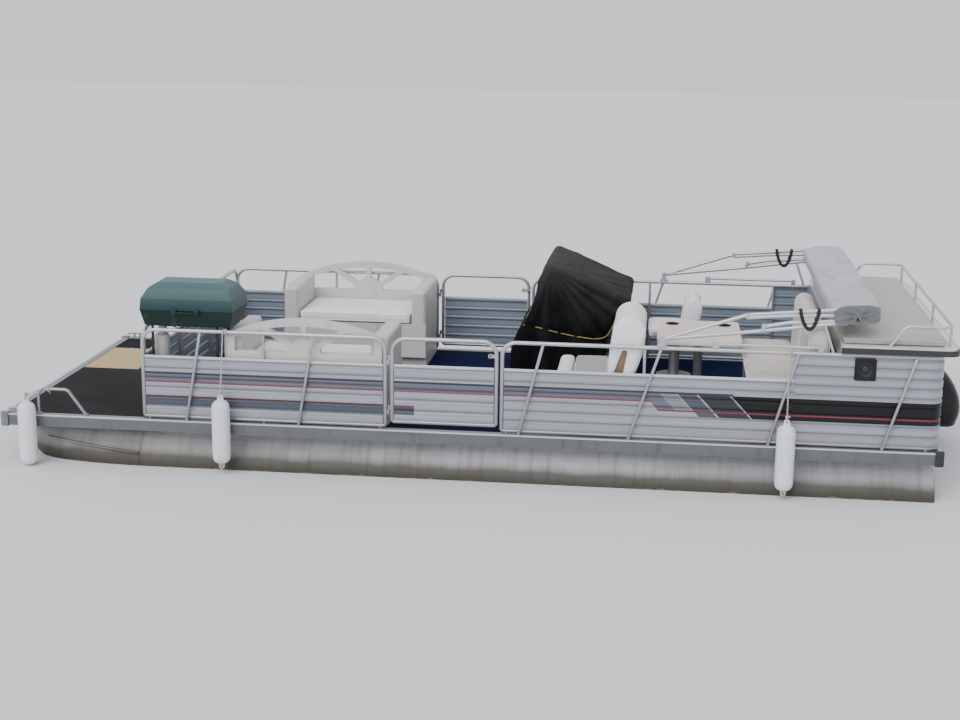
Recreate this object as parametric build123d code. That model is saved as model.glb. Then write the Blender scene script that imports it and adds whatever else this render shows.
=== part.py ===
from build123d import *
from math import hypot, radians, sqrt, tan
import os

# Pontoon boat, millimetres. +X runs aft, +Y to starboard, +Z up.
# The origin is at the middle of the deck's length, on the centre line, at the waterline.
# A station is a distance aft of the deck's front edge, and a height is measured from the deck's edge.
# What belongs to the stern is placed by its distance from the deck's aft edge.

# Deck
DECK_LENGTH = 6096.0
DECK_BEAM = 2438.0
FREEBOARD = 330.0
TRIM_HEIGHT = 77.0
TRIM_WEB = 5.0
TRIM_LIP = 60.0
TRIM_SHEET = 4.0
BOARD_THICKNESS = 19.0
BUMPER_SIZE = 46.0
BUMPER_PROUD = 12.0
MEMBER_COUNT = 11
MEMBER_INSET = 90.0
MEMBER_WIDTH = 60.0
MEMBER_SHEET = 5.0
WELL_LENGTH = 640.0
WELL_WIDTH = 820.0

# Floats
FLOAT_DIAMETER = 508.0
FLOAT_INSET = 30.0
FLOAT_AFT_INSET = 30.0
RISER_HEIGHT = 34.0
RISER_SPREAD = 180.0
NOSE_SEAM = 1030.0
NOSE_TIP = 60.0
KEEL_DEPTH = 12.0
KEEL_WIDTH = 40.0
CAP_STEP = 14.0
CAP_SHEET = 8.0
RISER_SHEET = 6.0
RISER_FLANGE = 44.0

# Fence
TUBE_R = 12.7
SMALL_TUBE_R = 9.5
FENCE_INSET = 32.0
RAIL_TOP = 610.0
PANEL_TOP = 428.0
PANEL_SHEET = 4.0
RIB_DEPTH = 6.0
RIB_PITCH = 65.0
PANEL_FACE = 3.0
CAP_HEIGHT = 15.0
CAP_PROUD = 2.0
CAP_BEHIND = 0.7
CORNER_BEND = 90.0
FOOT_BEND = 14.0
STERN_BEND = 80.0
FENCE_FRONT = 957.0
FENCE_END_INSET = 11.0
GATE_FRONT = 2598.0
GATE_WIDTH = 700.0
TALL_PANEL_LENGTH = 917.0
MIDDLE_POST = 913.0
GATE_FLOOR_GAP = 35.0
GATE_SIDE_GAP = 10.0
PAD_HEIGHT = 5.0
PAD_INSET = 46.0
SHEET_GAP = 0.3
SHEET_END_GAP = 1.7
SPEAKER_LENGTH = 132.0
SPEAKER_TALL = 140.0
SPEAKER_FROM_STERN = 504.0
SPEAKER_HEIGHT = 512.0

# Seats, table and console
SEAT_HEIGHT = 330.0
CUSHION_THICKNESS = 85.0
TOE_HEIGHT = 80.0
TOE_DEPTH = 50.0
COUCH_FRONT = 1500.0
COUCH_LENGTH = 1078.0
COUCH_DEPTH = 620.0
COUCH_ARM_WIDTH = 110.0
COUCH_ARM_TOP = 585.0
COUCH_BACK_TOP = 695.0
COUCH_BACK_THICKNESS = 45.0
FAN_BAND = 48.0
FAN_HUB_R = 112.0
FAN_SPOKE = 36.0
FURNITURE_GAP = 12.0
CONSOLE_FRONT = 3258.0
CONSOLE_LENGTH = 840.0
CONSOLE_WIDTH = 880.0
CONSOLE_TOP = 852.0
COVER_THICKNESS = 14.0
COVER_CLEARANCE = 0.3
COVER_HEM = 70.0
HELM_LEG_ROOM = 332.0
HELM_SIDE = 620.0
HELM_SEAT_WIDTH = 410.0
HELM_SEAT_LENGTH = 400.0
HELM_SEAT_HEIGHT = 400.0
HELM_BACK_SHARE = 0.62
LOUNGE_FRONT = 3664.0
LOUNGE_SEAT = 336.0
LOUNGE_WIDTH = 549.0
TABLE_FROM_SEAT = 286.0
TABLE_SIDE = -219.0
TABLE_LENGTH = 560.0
TABLE_WIDTH = 660.0
TABLE_TOP = 520.0
TABLE_THICKNESS = 38.0
PEDESTAL_R = 38.0
AFT_SEAT_LENGTH = 550.0
AFT_SEAT_WIDTH = 1250.0
AFT_BACK_DEPTH = 190.0
AFT_BACK_TOP = 752.0
SUNDECK_LENGTH = 676.0
SUNDECK_TOP = 704.0
SUNDECK_PAD = 60.0
SUNDECK_OVERHANG = 52.0
SUNDECK_WALL = 25.0
SUNDECK_CORNER = 60.0
RUB_HEIGHT = 34.0
RUB_PROUD = 14.0
SUN_RAIL_TOP = 800.0
SUN_RAIL_INSET = 22.0
SUN_RAIL_FOOT = 365.0
SUN_RAIL_KNEE = 271.0
SUN_RAIL_R = 10.0

# Canopy, placed by its pivot and by its rise over the top of the fence
CANOPY_PIVOT_FROM_STERN = 1761.0
CANOPY_PIVOT_RISE = 45.0
BOW_R = 12.0
PIN_R = 5.0
BOOT_AFT_OF_PIVOT = 1188.0
BOOT_RISE = 240.0
BOOT_LENGTH = 306.0
BOOT_DEPTH = 126.0
BOOT_ROUND = 48.0
BOOT_TILT = 5.0

# Grill
GRILL_FRONT = 962.0
GRILL_LENGTH = 620.0
GRILL_WIDTH = 370.0
GRILL_BASE = 625.0
GRILL_RIM = 730.0
GRILL_TOP = 900.0
GRILL_WALL = 10.0

# Motor, measured with the leg upright
TILT_FROM_STERN = 216.0
TILT_HEIGHT = -150.0
STEER_AFT_OF_TILT = 120.0
COWL_TOP = 278.0
COWL_BOTTOM = -112.0
COWL_FRONT_REACH = 297.0
COWL_AFT_REACH = 263.0
COWL_WIDTH = 330.0
LEG_LENGTH = 170.0
LEG_WIDTH = 150.0
PROP_HEIGHT = -740.0
PROP_RADIUS = 140.0
GEAR_R = 48.0
SKEG_HEIGHT = -915.0
TRANSOM_FROM_STERN = 196.0
TRANSOM_TOP = -195.0
TRANSOM_BOTTOM = -520.0
TRANSOM_THICKNESS = 45.0
POD_HALF = 300.0
POD_REACH = 660.0
GUSSET = 6.0

# Fenders
FENDER_RADIUS = 59.0
FENDER_LENGTH = 425.0
LUG_RISE = 38.0
LUG_R = 18.0
LUG_THICKNESS = 20.0
EYE_R = 5.5
ROPE_R = 4.0

# Clearances
RUNNING_GAP = 0.3
MOVING_GAP = 6.0


def station(distance):
    return distance - DECK_LENGTH / 2


def from_stern(distance):
    return DECK_LENGTH / 2 - distance


def height(above_deck):
    return FREEBOARD + above_deck


def block(x0, x1, y0, y1, z0, z1):
    centre = Pos((x0 + x1) / 2, (y0 + y1) / 2, (z0 + z1) / 2)
    return centre * Box(x1 - x0, y1 - y0, z1 - z0)


def rod(start, end, radius):
    path = Line(start, end)
    return sweep(Plane(origin=path @ 0, z_dir=path % 0) * Circle(radius), path=path)


def bent_tube(points, radius, bends):
    path = FilletPolyline(*points, radius=bends)
    return sweep(Plane(origin=path @ 0, z_dir=path % 0) * Circle(radius), path=path)


def along_x(points, x0, x1):
    face = make_face(Polyline([(x0, y, z) for y, z in points], close=True))
    return extrude(face, amount=x1 - x0, dir=(1, 0, 0))


def along_y(points, y0, y1):
    face = make_face(Polyline([(x, y0, z) for x, z in points], close=True))
    return extrude(face, amount=y1 - y0, dir=(0, 1, 0))


def prism_y(points, grow, y0, y1):
    face = make_face(Polyline([(x, z, 0) for x, z in points], close=True))
    if grow:
        face = offset(face, amount=grow, kind=Kind.INTERSECTION)
    solid = extrude(face, amount=y1 - y0)
    return Pos(0, y1, 0) * Rot(90, 0, 0) * solid


def to_starboard(shape):
    return mirror(shape, about=Plane.XZ)


def node(name, *shapes):
    solids = []
    for shape in shapes:
        solids.extend(shape.solids())
    whole = solids[0] if len(solids) == 1 else Compound(children=solids)
    nodes[name] = whole
    return whole


nodes = {}

# Levels and lines shared by the pieces
BOW = station(0.0)
STERN = station(DECK_LENGTH)
HALF_BEAM = DECK_BEAM / 2
DECK_TOP = height(-TRIM_SHEET)
LIP_TOP = height(0.0)
BOARD_BOTTOM = DECK_TOP - BOARD_THICKNESS
MEMBER_BOTTOM = height(-TRIM_HEIGHT) + TRIM_SHEET
FLOAT_TOP = MEMBER_BOTTOM - RISER_HEIGHT
FLOAT_R = FLOAT_DIAMETER / 2
FLOAT_Z = FLOAT_TOP - FLOAT_R
FLOAT_Y = HALF_BEAM - FLOAT_INSET - FLOAT_R
WELL_FRONT = STERN - WELL_LENGTH
WELL_HALF = WELL_WIDTH / 2
FENCE_Y = HALF_BEAM - FENCE_INSET - TUBE_R
RAIL_Z = height(RAIL_TOP) - TUBE_R
FOOT_RAIL_Z = LIP_TOP + PAD_HEIGHT + TUBE_R
INNER_Y = FENCE_Y - TUBE_R - FURNITURE_GAP
FENCE_AFT_END = DECK_LENGTH - FENCE_END_INSET
TALL_PANEL_FRONT = FENCE_AFT_END - TALL_PANEL_LENGTH
BOW_FENCE_X = station(FENCE_FRONT) + TUBE_R
STERN_FENCE_X = station(FENCE_AFT_END) - TUBE_R


# Floats: a rolled tube with a nose cone, spray strakes, a keel strip and a riser along its top
# share of the nose from seam to tip, share of the tube's radius
NOSE_SECTIONS = [(0.0, 1.0), (0.38, 0.92), (0.68, 0.72), (0.88, 0.47), (1.0, 0.22)]
STRAKE_PROUD = 22.0
STRAKE_SHEET = 5.0
# station and height of the strake's front and aft ends
STRAKE_FRONT = (257.0, -180.0)
STRAKE_AFT = (914.0, -242.0)


def nose_cone(grow):
    seam = station(NOSE_SEAM)
    rings = []
    for along, share in NOSE_SECTIONS:
        radius = FLOAT_R * share
        place = (seam - along * (NOSE_SEAM - NOSE_TIP), 0, FLOAT_TOP - radius)
        rings.append(Plane(origin=place, z_dir=(-1, 0, 0)) * Circle(radius + grow))
    return loft(rings)


def spray_strakes():
    (front, front_height), (aft, aft_height) = STRAKE_FRONT, STRAKE_AFT
    reach = FLOAT_R + 2 * STRAKE_PROUD
    blade = along_y([(station(front), height(front_height)), (station(aft), height(aft_height)),
                     (station(aft), height(aft_height) - STRAKE_SHEET),
                     (station(front), height(front_height) - STRAKE_SHEET)], -reach, reach)
    return nose_cone(STRAKE_PROUD) & blade


def float_body():
    seam = station(NOSE_SEAM)
    aft = STERN - FLOAT_AFT_INSET
    tube = Pos((seam + aft) / 2, 0, FLOAT_Z) * Rot(0, 90, 0) * Cylinder(FLOAT_R, aft - seam)
    cap_align = (Align.CENTER, Align.CENTER, Align.MIN)
    aft_cap = Pos(aft, 0, FLOAT_Z) * Rot(0, 90, 0) * Cylinder(FLOAT_R - CAP_STEP, CAP_SHEET, align=cap_align)
    keel = block(seam, aft, -KEEL_WIDTH / 2, KEEL_WIDTH / 2,
                 FLOAT_Z - FLOAT_R - KEEL_DEPTH, FLOAT_Z - FLOAT_R + KEEL_DEPTH / 2)
    body = tube + aft_cap + nose_cone(0) + spray_strakes() + keel
    riser_end = STERN - TRIM_LIP - 2
    for side in (-1, 1):
        y = side * RISER_SPREAD / 2
        foot = FLOAT_Z + sqrt(FLOAT_R ** 2 - (RISER_SPREAD / 2 + 4) ** 2) - 4
        body += block(seam, riser_end, y - RISER_SHEET / 2, y + RISER_SHEET / 2, foot, MEMBER_BOTTOM)
        body += block(seam, riser_end, y - RISER_FLANGE / 2, y + RISER_FLANGE / 2,
                      MEMBER_BOTTOM - MEMBER_SHEET, MEMBER_BOTTOM)
    return body


float_shape = float_body()
node("float_port", Pos(0, -FLOAT_Y, 0) * float_shape)
node("float_starboard", Pos(0, FLOAT_Y, 0) * float_shape)


# Deck structure
def cross_members():
    members = []
    reach = HALF_BEAM - TRIM_WEB - RUNNING_GAP
    first = BOW + MEMBER_INSET
    last = STERN - MEMBER_INSET
    for index in range(MEMBER_COUNT):
        x = first + index * (last - first) / (MEMBER_COUNT - 1)
        x0 = x - MEMBER_WIDTH / 2
        x1 = x + MEMBER_WIDTH / 2
        spans = [(-reach, reach)]
        if x1 > WELL_FRONT:
            spans = [(-reach, -WELL_HALF - 12), (WELL_HALF + 12, reach)]
        for y0, y1 in spans:
            channel = block(x0, x1, y0, y1, MEMBER_BOTTOM, BOARD_BOTTOM)
            channel -= block(x0 + MEMBER_SHEET, x1 + 1, y0 - 1, y1 + 1,
                             MEMBER_BOTTOM + MEMBER_SHEET, BOARD_BOTTOM - MEMBER_SHEET)
            members.append(channel)
    return members


node("cross_members", *cross_members())

board_edge = HALF_BEAM - TRIM_WEB - RUNNING_GAP
board = block(BOW + TRIM_WEB + RUNNING_GAP, STERN - TRIM_WEB - RUNNING_GAP, -board_edge, board_edge,
              BOARD_BOTTOM, DECK_TOP)
board -= block(WELL_FRONT, STERN, -WELL_HALF, WELL_HALF, BOARD_BOTTOM - 1, DECK_TOP + 1)
node("deck_board", board)


# Deck edge: a channel whose lips hold the board and the cross members
def trim_section():
    low = height(-TRIM_HEIGHT)
    return [(0, low), (0, LIP_TOP), (-TRIM_LIP, LIP_TOP), (-TRIM_LIP, DECK_TOP), (-TRIM_WEB, DECK_TOP),
            (-TRIM_WEB, MEMBER_BOTTOM), (-TRIM_LIP, MEMBER_BOTTOM), (-TRIM_LIP, low)]


def trim_run(length):
    return along_x(trim_section(), -length / 2, length / 2)


side_trim = Pos(0, HALF_BEAM, 0) * trim_run(DECK_LENGTH - 2 * BUMPER_SIZE)
bow_trim = Pos(BOW, 0, 0) * Rot(0, 0, 90) * trim_run(DECK_BEAM - 2 * BUMPER_SIZE)
stern_run = HALF_BEAM - BUMPER_SIZE - WELL_HALF
stern_trim = Pos(STERN, WELL_HALF + stern_run / 2, 0) * Rot(0, 0, -90) * trim_run(stern_run)
node("deck_trim", side_trim, to_starboard(side_trim), bow_trim, stern_trim, to_starboard(stern_trim))


def corner_bumper():
    size = BUMPER_SIZE
    proud = BUMPER_PROUD
    low = height(-TRIM_HEIGHT) - 6
    top = LIP_TOP + 5
    cap = block(BOW - proud, BOW + size, -HALF_BEAM - proud, -HALF_BEAM + size, low, top)
    corner = cap.edges().filter_by(Axis.Z).sort_by(lambda e: e.center().X + e.center().Y)[0]
    cap = fillet(corner, proud + 22)
    cap -= block(BOW - RUNNING_GAP + TRIM_WEB, BOW + size + 1, -HALF_BEAM + TRIM_WEB, -HALF_BEAM + size + 1,
                 height(-TRIM_HEIGHT), LIP_TOP)
    return cap


bumper = corner_bumper()
bumpers = [bumper, to_starboard(bumper)]
bumpers += [mirror(piece, about=Plane.YZ) for piece in bumpers]
node("corner_bumpers", *bumpers)

# The mat covers the bow deck from the port edge to past the middle
MAT_THICKNESS = 5.0
MAT_EDGE_GAP = 3.0
MAT_STARBOARD_EDGE = 131.0
node("bow_mat", block(BOW + TRIM_LIP + MAT_EDGE_GAP, station(FENCE_FRONT) - MAT_EDGE_GAP,
                      -HALF_BEAM + TRIM_LIP + MAT_EDGE_GAP, MAT_STARBOARD_EDGE, DECK_TOP,
                      DECK_TOP + MAT_THICKNESS))


# Bow fittings
HOOP_FRONT = 250.0
HOOP_LENGTH = 320.0
HOOP_TOP = 182.0
HOOP_R = 10.0
HOOP_FLAT = 200.0
HOOP_BEND = 45.0
HOOP_FLANGE_R = 20.0
FITTING_INSET = 30.0
hoop_y = -HALF_BEAM + FITTING_INSET
hoop_z = height(HOOP_TOP) - HOOP_R


def grab_hoop():
    front = station(HOOP_FRONT)
    aft = station(HOOP_FRONT + HOOP_LENGTH)
    points = [(front, hoop_y, LIP_TOP + 4), (front, hoop_y, hoop_z), (front + HOOP_FLAT, hoop_y, hoop_z),
              (aft, hoop_y, LIP_TOP + 9)]
    hoop = bent_tube(points, HOOP_R, HOOP_BEND)
    for x in (front, aft):
        hoop += Pos(x, hoop_y, LIP_TOP + 5) * Cylinder(HOOP_FLANGE_R, 10)
    return hoop


hoop = grab_hoop()
node("bow_hoops", hoop, to_starboard(hoop))


BOW_CLEAT = 120.0
CLEAT_BASE_LENGTH = 90.0
CLEAT_BASE_WIDTH = 28.0
CLEAT_BASE_SHEET = 6.0
CLEAT_LEG_SPREAD = 44.0
CLEAT_LEG_R = 7.0
HORN_RISE = 34.0
HORN_LENGTH = 160.0
HORN_R = 8.0


def cleat(x, y):
    length = CLEAT_BASE_LENGTH / 2
    width = CLEAT_BASE_WIDTH / 2
    base = block(x - length, x + length, y - width, y + width, LIP_TOP, LIP_TOP + CLEAT_BASE_SHEET)
    foot = LIP_TOP + CLEAT_BASE_SHEET - 1
    for side in (-1, 1):
        leg_height = HORN_RISE - CLEAT_BASE_SHEET - 4
        base += Pos(x + side * CLEAT_LEG_SPREAD / 2, y, foot + leg_height / 2) * Cylinder(CLEAT_LEG_R, leg_height)
    horn = Pos(x, y, LIP_TOP + HORN_RISE) * Rot(0, 90, 0) * Cylinder(HORN_R, HORN_LENGTH)
    return base + horn


bow_cleat = cleat(station(BOW_CLEAT), hoop_y)
node("cleats", bow_cleat, to_starboard(bow_cleat))


# Fence frames: closed loops of tube with posts behind the sheets and pads on the deck
POST_SHIFT = PANEL_SHEET + RIB_DEPTH + SMALL_TUBE_R - TUBE_R + 4


def rail_loop(points, bends):
    path = FilletPolyline(*points, radius=bends, close=True)
    return sweep(Plane(origin=path @ 0, z_dir=path % 0) * Circle(TUBE_R), path=path)


def post(x, y):
    return rod((x, y, FOOT_RAIL_Z), (x, y, RAIL_Z), SMALL_TUBE_R)


def deck_pad(x, y, base):
    top = FOOT_RAIL_Z - TUBE_R / 2
    return Pos(x, y, (base + top) / 2) * Cylinder(TUBE_R - 2, top - base)


def fence_frame(length, base):
    end = length - TUBE_R
    points = [(TUBE_R, 0, FOOT_RAIL_Z), (TUBE_R, 0, RAIL_Z), (end, 0, RAIL_Z), (end, 0, FOOT_RAIL_Z)]
    frame = rail_loop(points, [FOOT_BEND, CORNER_BEND, CORNER_BEND, FOOT_BEND])
    frame += post(length / 2, POST_SHIFT)
    for x in (PAD_INSET, length / 2, length - PAD_INSET):
        frame += deck_pad(x, 0, base)
    return frame


def sheet_profile(foot_tube_z, high, capped):
    # The outer face steps in and out once each pitch, the inner face follows it, and a cap folds over a low top
    # The sheet's foot rests on the frame's lower tube
    crest = -TUBE_R + PANEL_FACE
    low = foot_tube_z + sqrt((TUBE_R + SHEET_GAP) ** 2 - (crest + PANEL_SHEET) ** 2)
    valley = crest + RIB_DEPTH
    top = high - CAP_HEIGHT if capped else high
    count = max(2, round((top - low) / RIB_PITCH))
    pitch = (top - low) / count
    outer = [(crest, low)]
    # share of the pitch, face
    steps = [(0.06, crest), (0.72, crest), (0.82, valley), (0.96, valley)]
    for index in range(count):
        outer += [(face, low + (index + share) * pitch) for share, face in steps]
    outer[-1] = (valley, top)
    inner = [(face + PANEL_SHEET, z) for face, z in reversed(outer)]
    if capped:
        outer += [(crest - CAP_PROUD, top), (crest - CAP_PROUD, high)]
        behind = valley + PANEL_SHEET + CAP_BEHIND
        inner = [(behind, high), (behind, top)] + inner
    return outer + inner


def panel(length, high, foot_tube_z=FOOT_RAIL_Z):
    end_gap = 2 * TUBE_R + SHEET_END_GAP
    return along_x(sheet_profile(foot_tube_z, high, True), end_gap, length - end_gap)


def on_port(shape, start):
    return Pos(station(start), -FENCE_Y, 0) * shape


BRACE_OUT = 6.8


def brace(top_station, bottom_station):
    start = (station(top_station), -FENCE_Y - TUBE_R - BRACE_OUT, RAIL_Z - 6)
    end = (station(bottom_station), -HALF_BEAM + 11, LIP_TOP + 5)
    leg = rod(start, end, SMALL_TUBE_R)
    return leg + Pos(end[0], end[1], LIP_TOP + 3) * Box(34, 20, 6)


section_a = GATE_FRONT - GATE_SIDE_GAP - FENCE_FRONT
GATE_AFT = GATE_FRONT + GATE_WIDTH + GATE_SIDE_GAP
section_b_start = GATE_AFT + GATE_SIDE_GAP
stern_gap = WELL_HALF + 6
high_top = RAIL_Z - TUBE_R - RUNNING_GAP
# top station, bottom station of each brace
BRACES_FRONT = [(1362.0, 1262.0), (2108.0, 2009.0)]
BRACES_AFT = [(GATE_AFT + 282.0, GATE_AFT + 136.0),
              (DECK_LENGTH - 1765.0, DECK_LENGTH - 1952.0),
              (DECK_LENGTH - 916.0, DECK_LENGTH - 1077.0),
              (DECK_LENGTH - 197.0, DECK_LENGTH - 376.0)]


def front_frame():
    frame = on_port(fence_frame(section_a, LIP_TOP), FENCE_FRONT)
    for top, bottom in BRACES_FRONT:
        frame += brace(top, bottom)
    return frame


def aft_frame():
    # One loop runs from the gate round the stern corner to the motor well
    x0 = station(section_b_start) + TUBE_R
    x1 = STERN_FENCE_X
    y0 = -FENCE_Y
    y1 = -stern_gap - TUBE_R
    points = [(x0, y0, FOOT_RAIL_Z), (x0, y0, RAIL_Z), (x1, y0, RAIL_Z), (x1, y1, RAIL_Z), (x1, y1, FOOT_RAIL_Z),
              (x1, y0, FOOT_RAIL_Z)]
    frame = rail_loop(points, [FOOT_BEND, CORNER_BEND, STERN_BEND, CORNER_BEND, FOOT_BEND, STERN_BEND])
    side_posts = [station(section_b_start + MIDDLE_POST), station(TALL_PANEL_FRONT), x1 - STERN_BEND]
    for x in side_posts:
        frame += post(x, y0 + POST_SHIFT)
    for x in [x0 - TUBE_R + PAD_INSET, *side_posts]:
        frame += deck_pad(x, y0, LIP_TOP)
    stern_post = (y0 + y1) / 2
    frame += post(x1 - POST_SHIFT, stern_post)
    for y in (stern_post, y1 - PAD_INSET):
        frame += deck_pad(x1, y, LIP_TOP)
    for top, bottom in BRACES_AFT:
        frame += brace(top, bottom)
    return frame


def side_panels():
    front = on_port(panel(section_a, height(PANEL_TOP)), FENCE_FRONT)
    low_end = station(TALL_PANEL_FRONT) - RUNNING_GAP
    low_start = station(section_b_start) + 2 * TUBE_R + SHEET_END_GAP
    low_profile = sheet_profile(FOOT_RAIL_Z, height(PANEL_TOP), True)
    low_sheet = Pos(0, -FENCE_Y, 0) * along_x(low_profile, low_start, low_end)
    return [front, low_sheet, tall_sheet()]


def tall_sheet():
    # The tall sheet is rolled round the stern corner, on the same centre as the rail's bend
    profile = sheet_profile(FOOT_RAIL_Z, high_top, False)
    centre = (STERN_FENCE_X - STERN_BEND, -FENCE_Y + STERN_BEND)
    straight = Pos(0, -FENCE_Y, 0) * along_x(profile, station(TALL_PANEL_FRONT), centre[0])
    face = make_face(Polyline([(0, y - STERN_BEND, z) for y, z in profile], close=True))
    corner = Pos(*centre, 0) * revolve(face, Axis.Z, 90)
    return straight + corner


port_panels = side_panels()
node("fence_panels_sides", *port_panels, *[to_starboard(piece) for piece in port_panels])


# Bow fence, stern sheets, and the three gates
BOW_GATE_HALF = GATE_WIDTH / 2 + GATE_SIDE_GAP
HINGE_R = 6.0
HINGE_LENGTH = 30.0
HINGE_HEIGHTS = (110.0, 440.0)
corner_end = FENCE_Y - TUBE_R - RUNNING_GAP
bow_length = corner_end - BOW_GATE_HALF - GATE_SIDE_GAP

facing_forward = Rot(0, 0, -90)
facing_aft = Rot(0, 0, 90)
bow_place = Pos(BOW_FENCE_X, -BOW_GATE_HALF - GATE_SIDE_GAP, 0) * facing_forward
stern_place = Pos(STERN_FENCE_X, -FENCE_Y, 0) * facing_aft


def gate_frame():
    low = height(GATE_FLOOR_GAP) + TUBE_R
    end = GATE_WIDTH - TUBE_R
    points = [(TUBE_R, 0, low), (TUBE_R, 0, RAIL_Z), (end, 0, RAIL_Z), (end, 0, low)]
    frame = rail_loop(points, [FOOT_BEND, CORNER_BEND, CORNER_BEND, FOOT_BEND])
    for level in HINGE_HEIGHTS:
        z = height(level) + HINGE_LENGTH / 2 + RUNNING_GAP
        frame += Pos(-GATE_SIDE_GAP, 0, z + HINGE_LENGTH / 2) * Cylinder(HINGE_R, HINGE_LENGTH)
        frame += block(-GATE_SIDE_GAP, 4, -3, 3, z, z + HINGE_LENGTH)
    return frame


def hinge_posts():
    posts = []
    for level in HINGE_HEIGHTS:
        z = height(level) + HINGE_LENGTH / 2
        knuckle = Pos(-GATE_SIDE_GAP, 0, z - HINGE_LENGTH / 2) * Cylinder(HINGE_R, HINGE_LENGTH)
        knuckle += block(-2 * GATE_SIDE_GAP - 4, -GATE_SIDE_GAP, -3, 3, z - HINGE_LENGTH, z)
        posts.append(knuckle)
    return posts


side_gate_place = Pos(station(GATE_FRONT) + GATE_SIDE_GAP, -FENCE_Y, 0)
bow_gate_place = Pos(BOW_FENCE_X, GATE_WIDTH / 2, 0) * facing_forward
gate_frame_shape = gate_frame()
gate_panel_shape = panel(GATE_WIDTH, height(PANEL_TOP), foot_tube_z=height(GATE_FLOOR_GAP) + TUBE_R)
port_gate = side_gate_place * gate_frame_shape
port_gate_panel = side_gate_place * gate_panel_shape
node("gate_port", port_gate)
node("gate_port_panel", port_gate_panel)
node("gate_starboard", to_starboard(port_gate))
node("gate_starboard_panel", to_starboard(port_gate_panel))
node("gate_bow", bow_gate_place * gate_frame_shape)
node("gate_bow_panel", bow_gate_place * gate_panel_shape)

side_hinges = [side_gate_place * knuckle for knuckle in hinge_posts()]
bow_hinges = [bow_gate_place * knuckle for knuckle in hinge_posts()]
port_frames = [front_frame() + side_hinges, aft_frame()]
node("fence_frame_sides", *port_frames, *[to_starboard(piece) for piece in port_frames])

bow_port = bow_place * fence_frame(bow_length, DECK_TOP)
node("fence_frame_ends", bow_port, to_starboard(bow_port) + bow_hinges)


def stern_sheet():
    end = FENCE_Y - stern_gap - TUBE_R
    sheet = along_x(sheet_profile(FOOT_RAIL_Z, high_top, False), STERN_BEND + SHEET_GAP,
                    end - TUBE_R - SHEET_END_GAP)
    clear = bent_tube([(end - 2 * CORNER_BEND, 0, RAIL_Z), (end, 0, RAIL_Z), (end, 0, FOOT_RAIL_Z)],
                      TUBE_R + RUNNING_GAP, CORNER_BEND)
    return sheet - clear


bow_panel = bow_place * panel(bow_length, height(PANEL_TOP))
stern_panel = stern_place * stern_sheet()
node("fence_panels_ends", bow_panel, to_starboard(bow_panel), stern_panel, to_starboard(stern_panel))


def speaker():
    # A square moulding with a round dish and a dome at its middle
    face = -TUBE_R + PANEL_FACE
    half = SPEAKER_LENGTH / 2
    plate = block(-half, half, face - 10, face - 0.1, -SPEAKER_TALL / 2, SPEAKER_TALL / 2)
    plate = fillet(plate.edges().filter_by(Axis.Y), 12)
    dish = Pos(0, face - 8, 0) * Rot(90, 0, 0) * Cone(36, 52, 6)
    dome = Pos(0, face - 6, 0) * Rot(90, 0, 0) * Cone(18, 8, 6)
    return plate - dish + dome


speaker_x = from_stern(SPEAKER_FROM_STERN)
node("speaker", Pos(speaker_x, -FENCE_Y, height(SPEAKER_HEIGHT)) * speaker())


# Bow couches: a moulded base with arms, a pierced fan back and one cushion
couch_outer = -INNER_Y
couch_inner = couch_outer + COUCH_DEPTH
couch_x0 = station(COUCH_FRONT)
couch_x1 = couch_x0 + COUCH_LENGTH
couch_back_face = couch_outer + COUCH_BACK_THICKNESS


def couch_base():
    seat = height(SEAT_HEIGHT)
    base = block(couch_x0, couch_x1, couch_back_face + RUNNING_GAP, couch_inner, DECK_TOP, seat)
    base -= block(couch_x0 - 1, couch_x1 + 1, couch_inner - TOE_DEPTH, couch_inner + 1, DECK_TOP - 1,
                  DECK_TOP + TOE_HEIGHT)
    for x0 in (couch_x0, couch_x1 - COUCH_ARM_WIDTH):
        arm = block(x0, x0 + COUCH_ARM_WIDTH, couch_back_face + RUNNING_GAP, couch_inner, seat - 5,
                    height(COUCH_ARM_TOP))
        top_edges = arm.edges().filter_by(Axis.Y).sort_by(Axis.Z)[-2:]
        arm = fillet(top_edges, 28)
        front_edges = arm.edges().filter_by(Axis.Z).sort_by(Axis.Y)[-2:]
        arm = fillet(front_edges, 30)
        base += arm
    return base


def couch_back():
    foot = height(COUCH_ARM_TOP)
    top = height(COUCH_BACK_TOP)
    middle = (couch_x0 + couch_x1) / 2
    half = COUCH_LENGTH / 2 - 30
    y = couch_outer
    outline = Polyline((middle - half, y, foot), (middle - half, y, DECK_TOP), (middle + half, y, DECK_TOP),
                       (middle + half, y, foot))
    crown = ThreePointArc((middle + half, y, foot), (middle, y, top), (middle - half, y, foot))
    plate = extrude(make_face([outline, crown]), amount=COUCH_BACK_THICKNESS, dir=(0, 1, 0))
    band = FAN_BAND
    hub_z = height(SEAT_HEIGHT + CUSHION_THICKNESS + 40)
    sill_z = hub_z + 18
    reach = half - band
    spring = foot - 0.45 * band
    opening_line = Polyline((middle + reach, y - 1, spring), (middle + reach, y - 1, sill_z),
                            (middle - reach, y - 1, sill_z), (middle - reach, y - 1, spring))
    opening_arc = ThreePointArc((middle - reach, y - 1, spring), (middle, y - 1, top - band),
                                (middle + half - band, y - 1, foot - 0.45 * band))
    fan = extrude(make_face([opening_line, opening_arc]), amount=COUCH_BACK_THICKNESS + 2, dir=(0, 1, 0))
    mid_y = y + COUCH_BACK_THICKNESS / 2
    fan -= Pos(middle, mid_y, hub_z) * Rot(90, 0, 0) * Cylinder(FAN_HUB_R, COUCH_BACK_THICKNESS + 10)
    for angle in (0, 57, -57):
        spoke = Pos(0, 0, 300) * Box(FAN_SPOKE, COUCH_BACK_THICKNESS + 10, 600)
        fan -= Pos(middle, mid_y, hub_z) * Rot(0, angle, 0) * spoke
    return plate - fan


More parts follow.
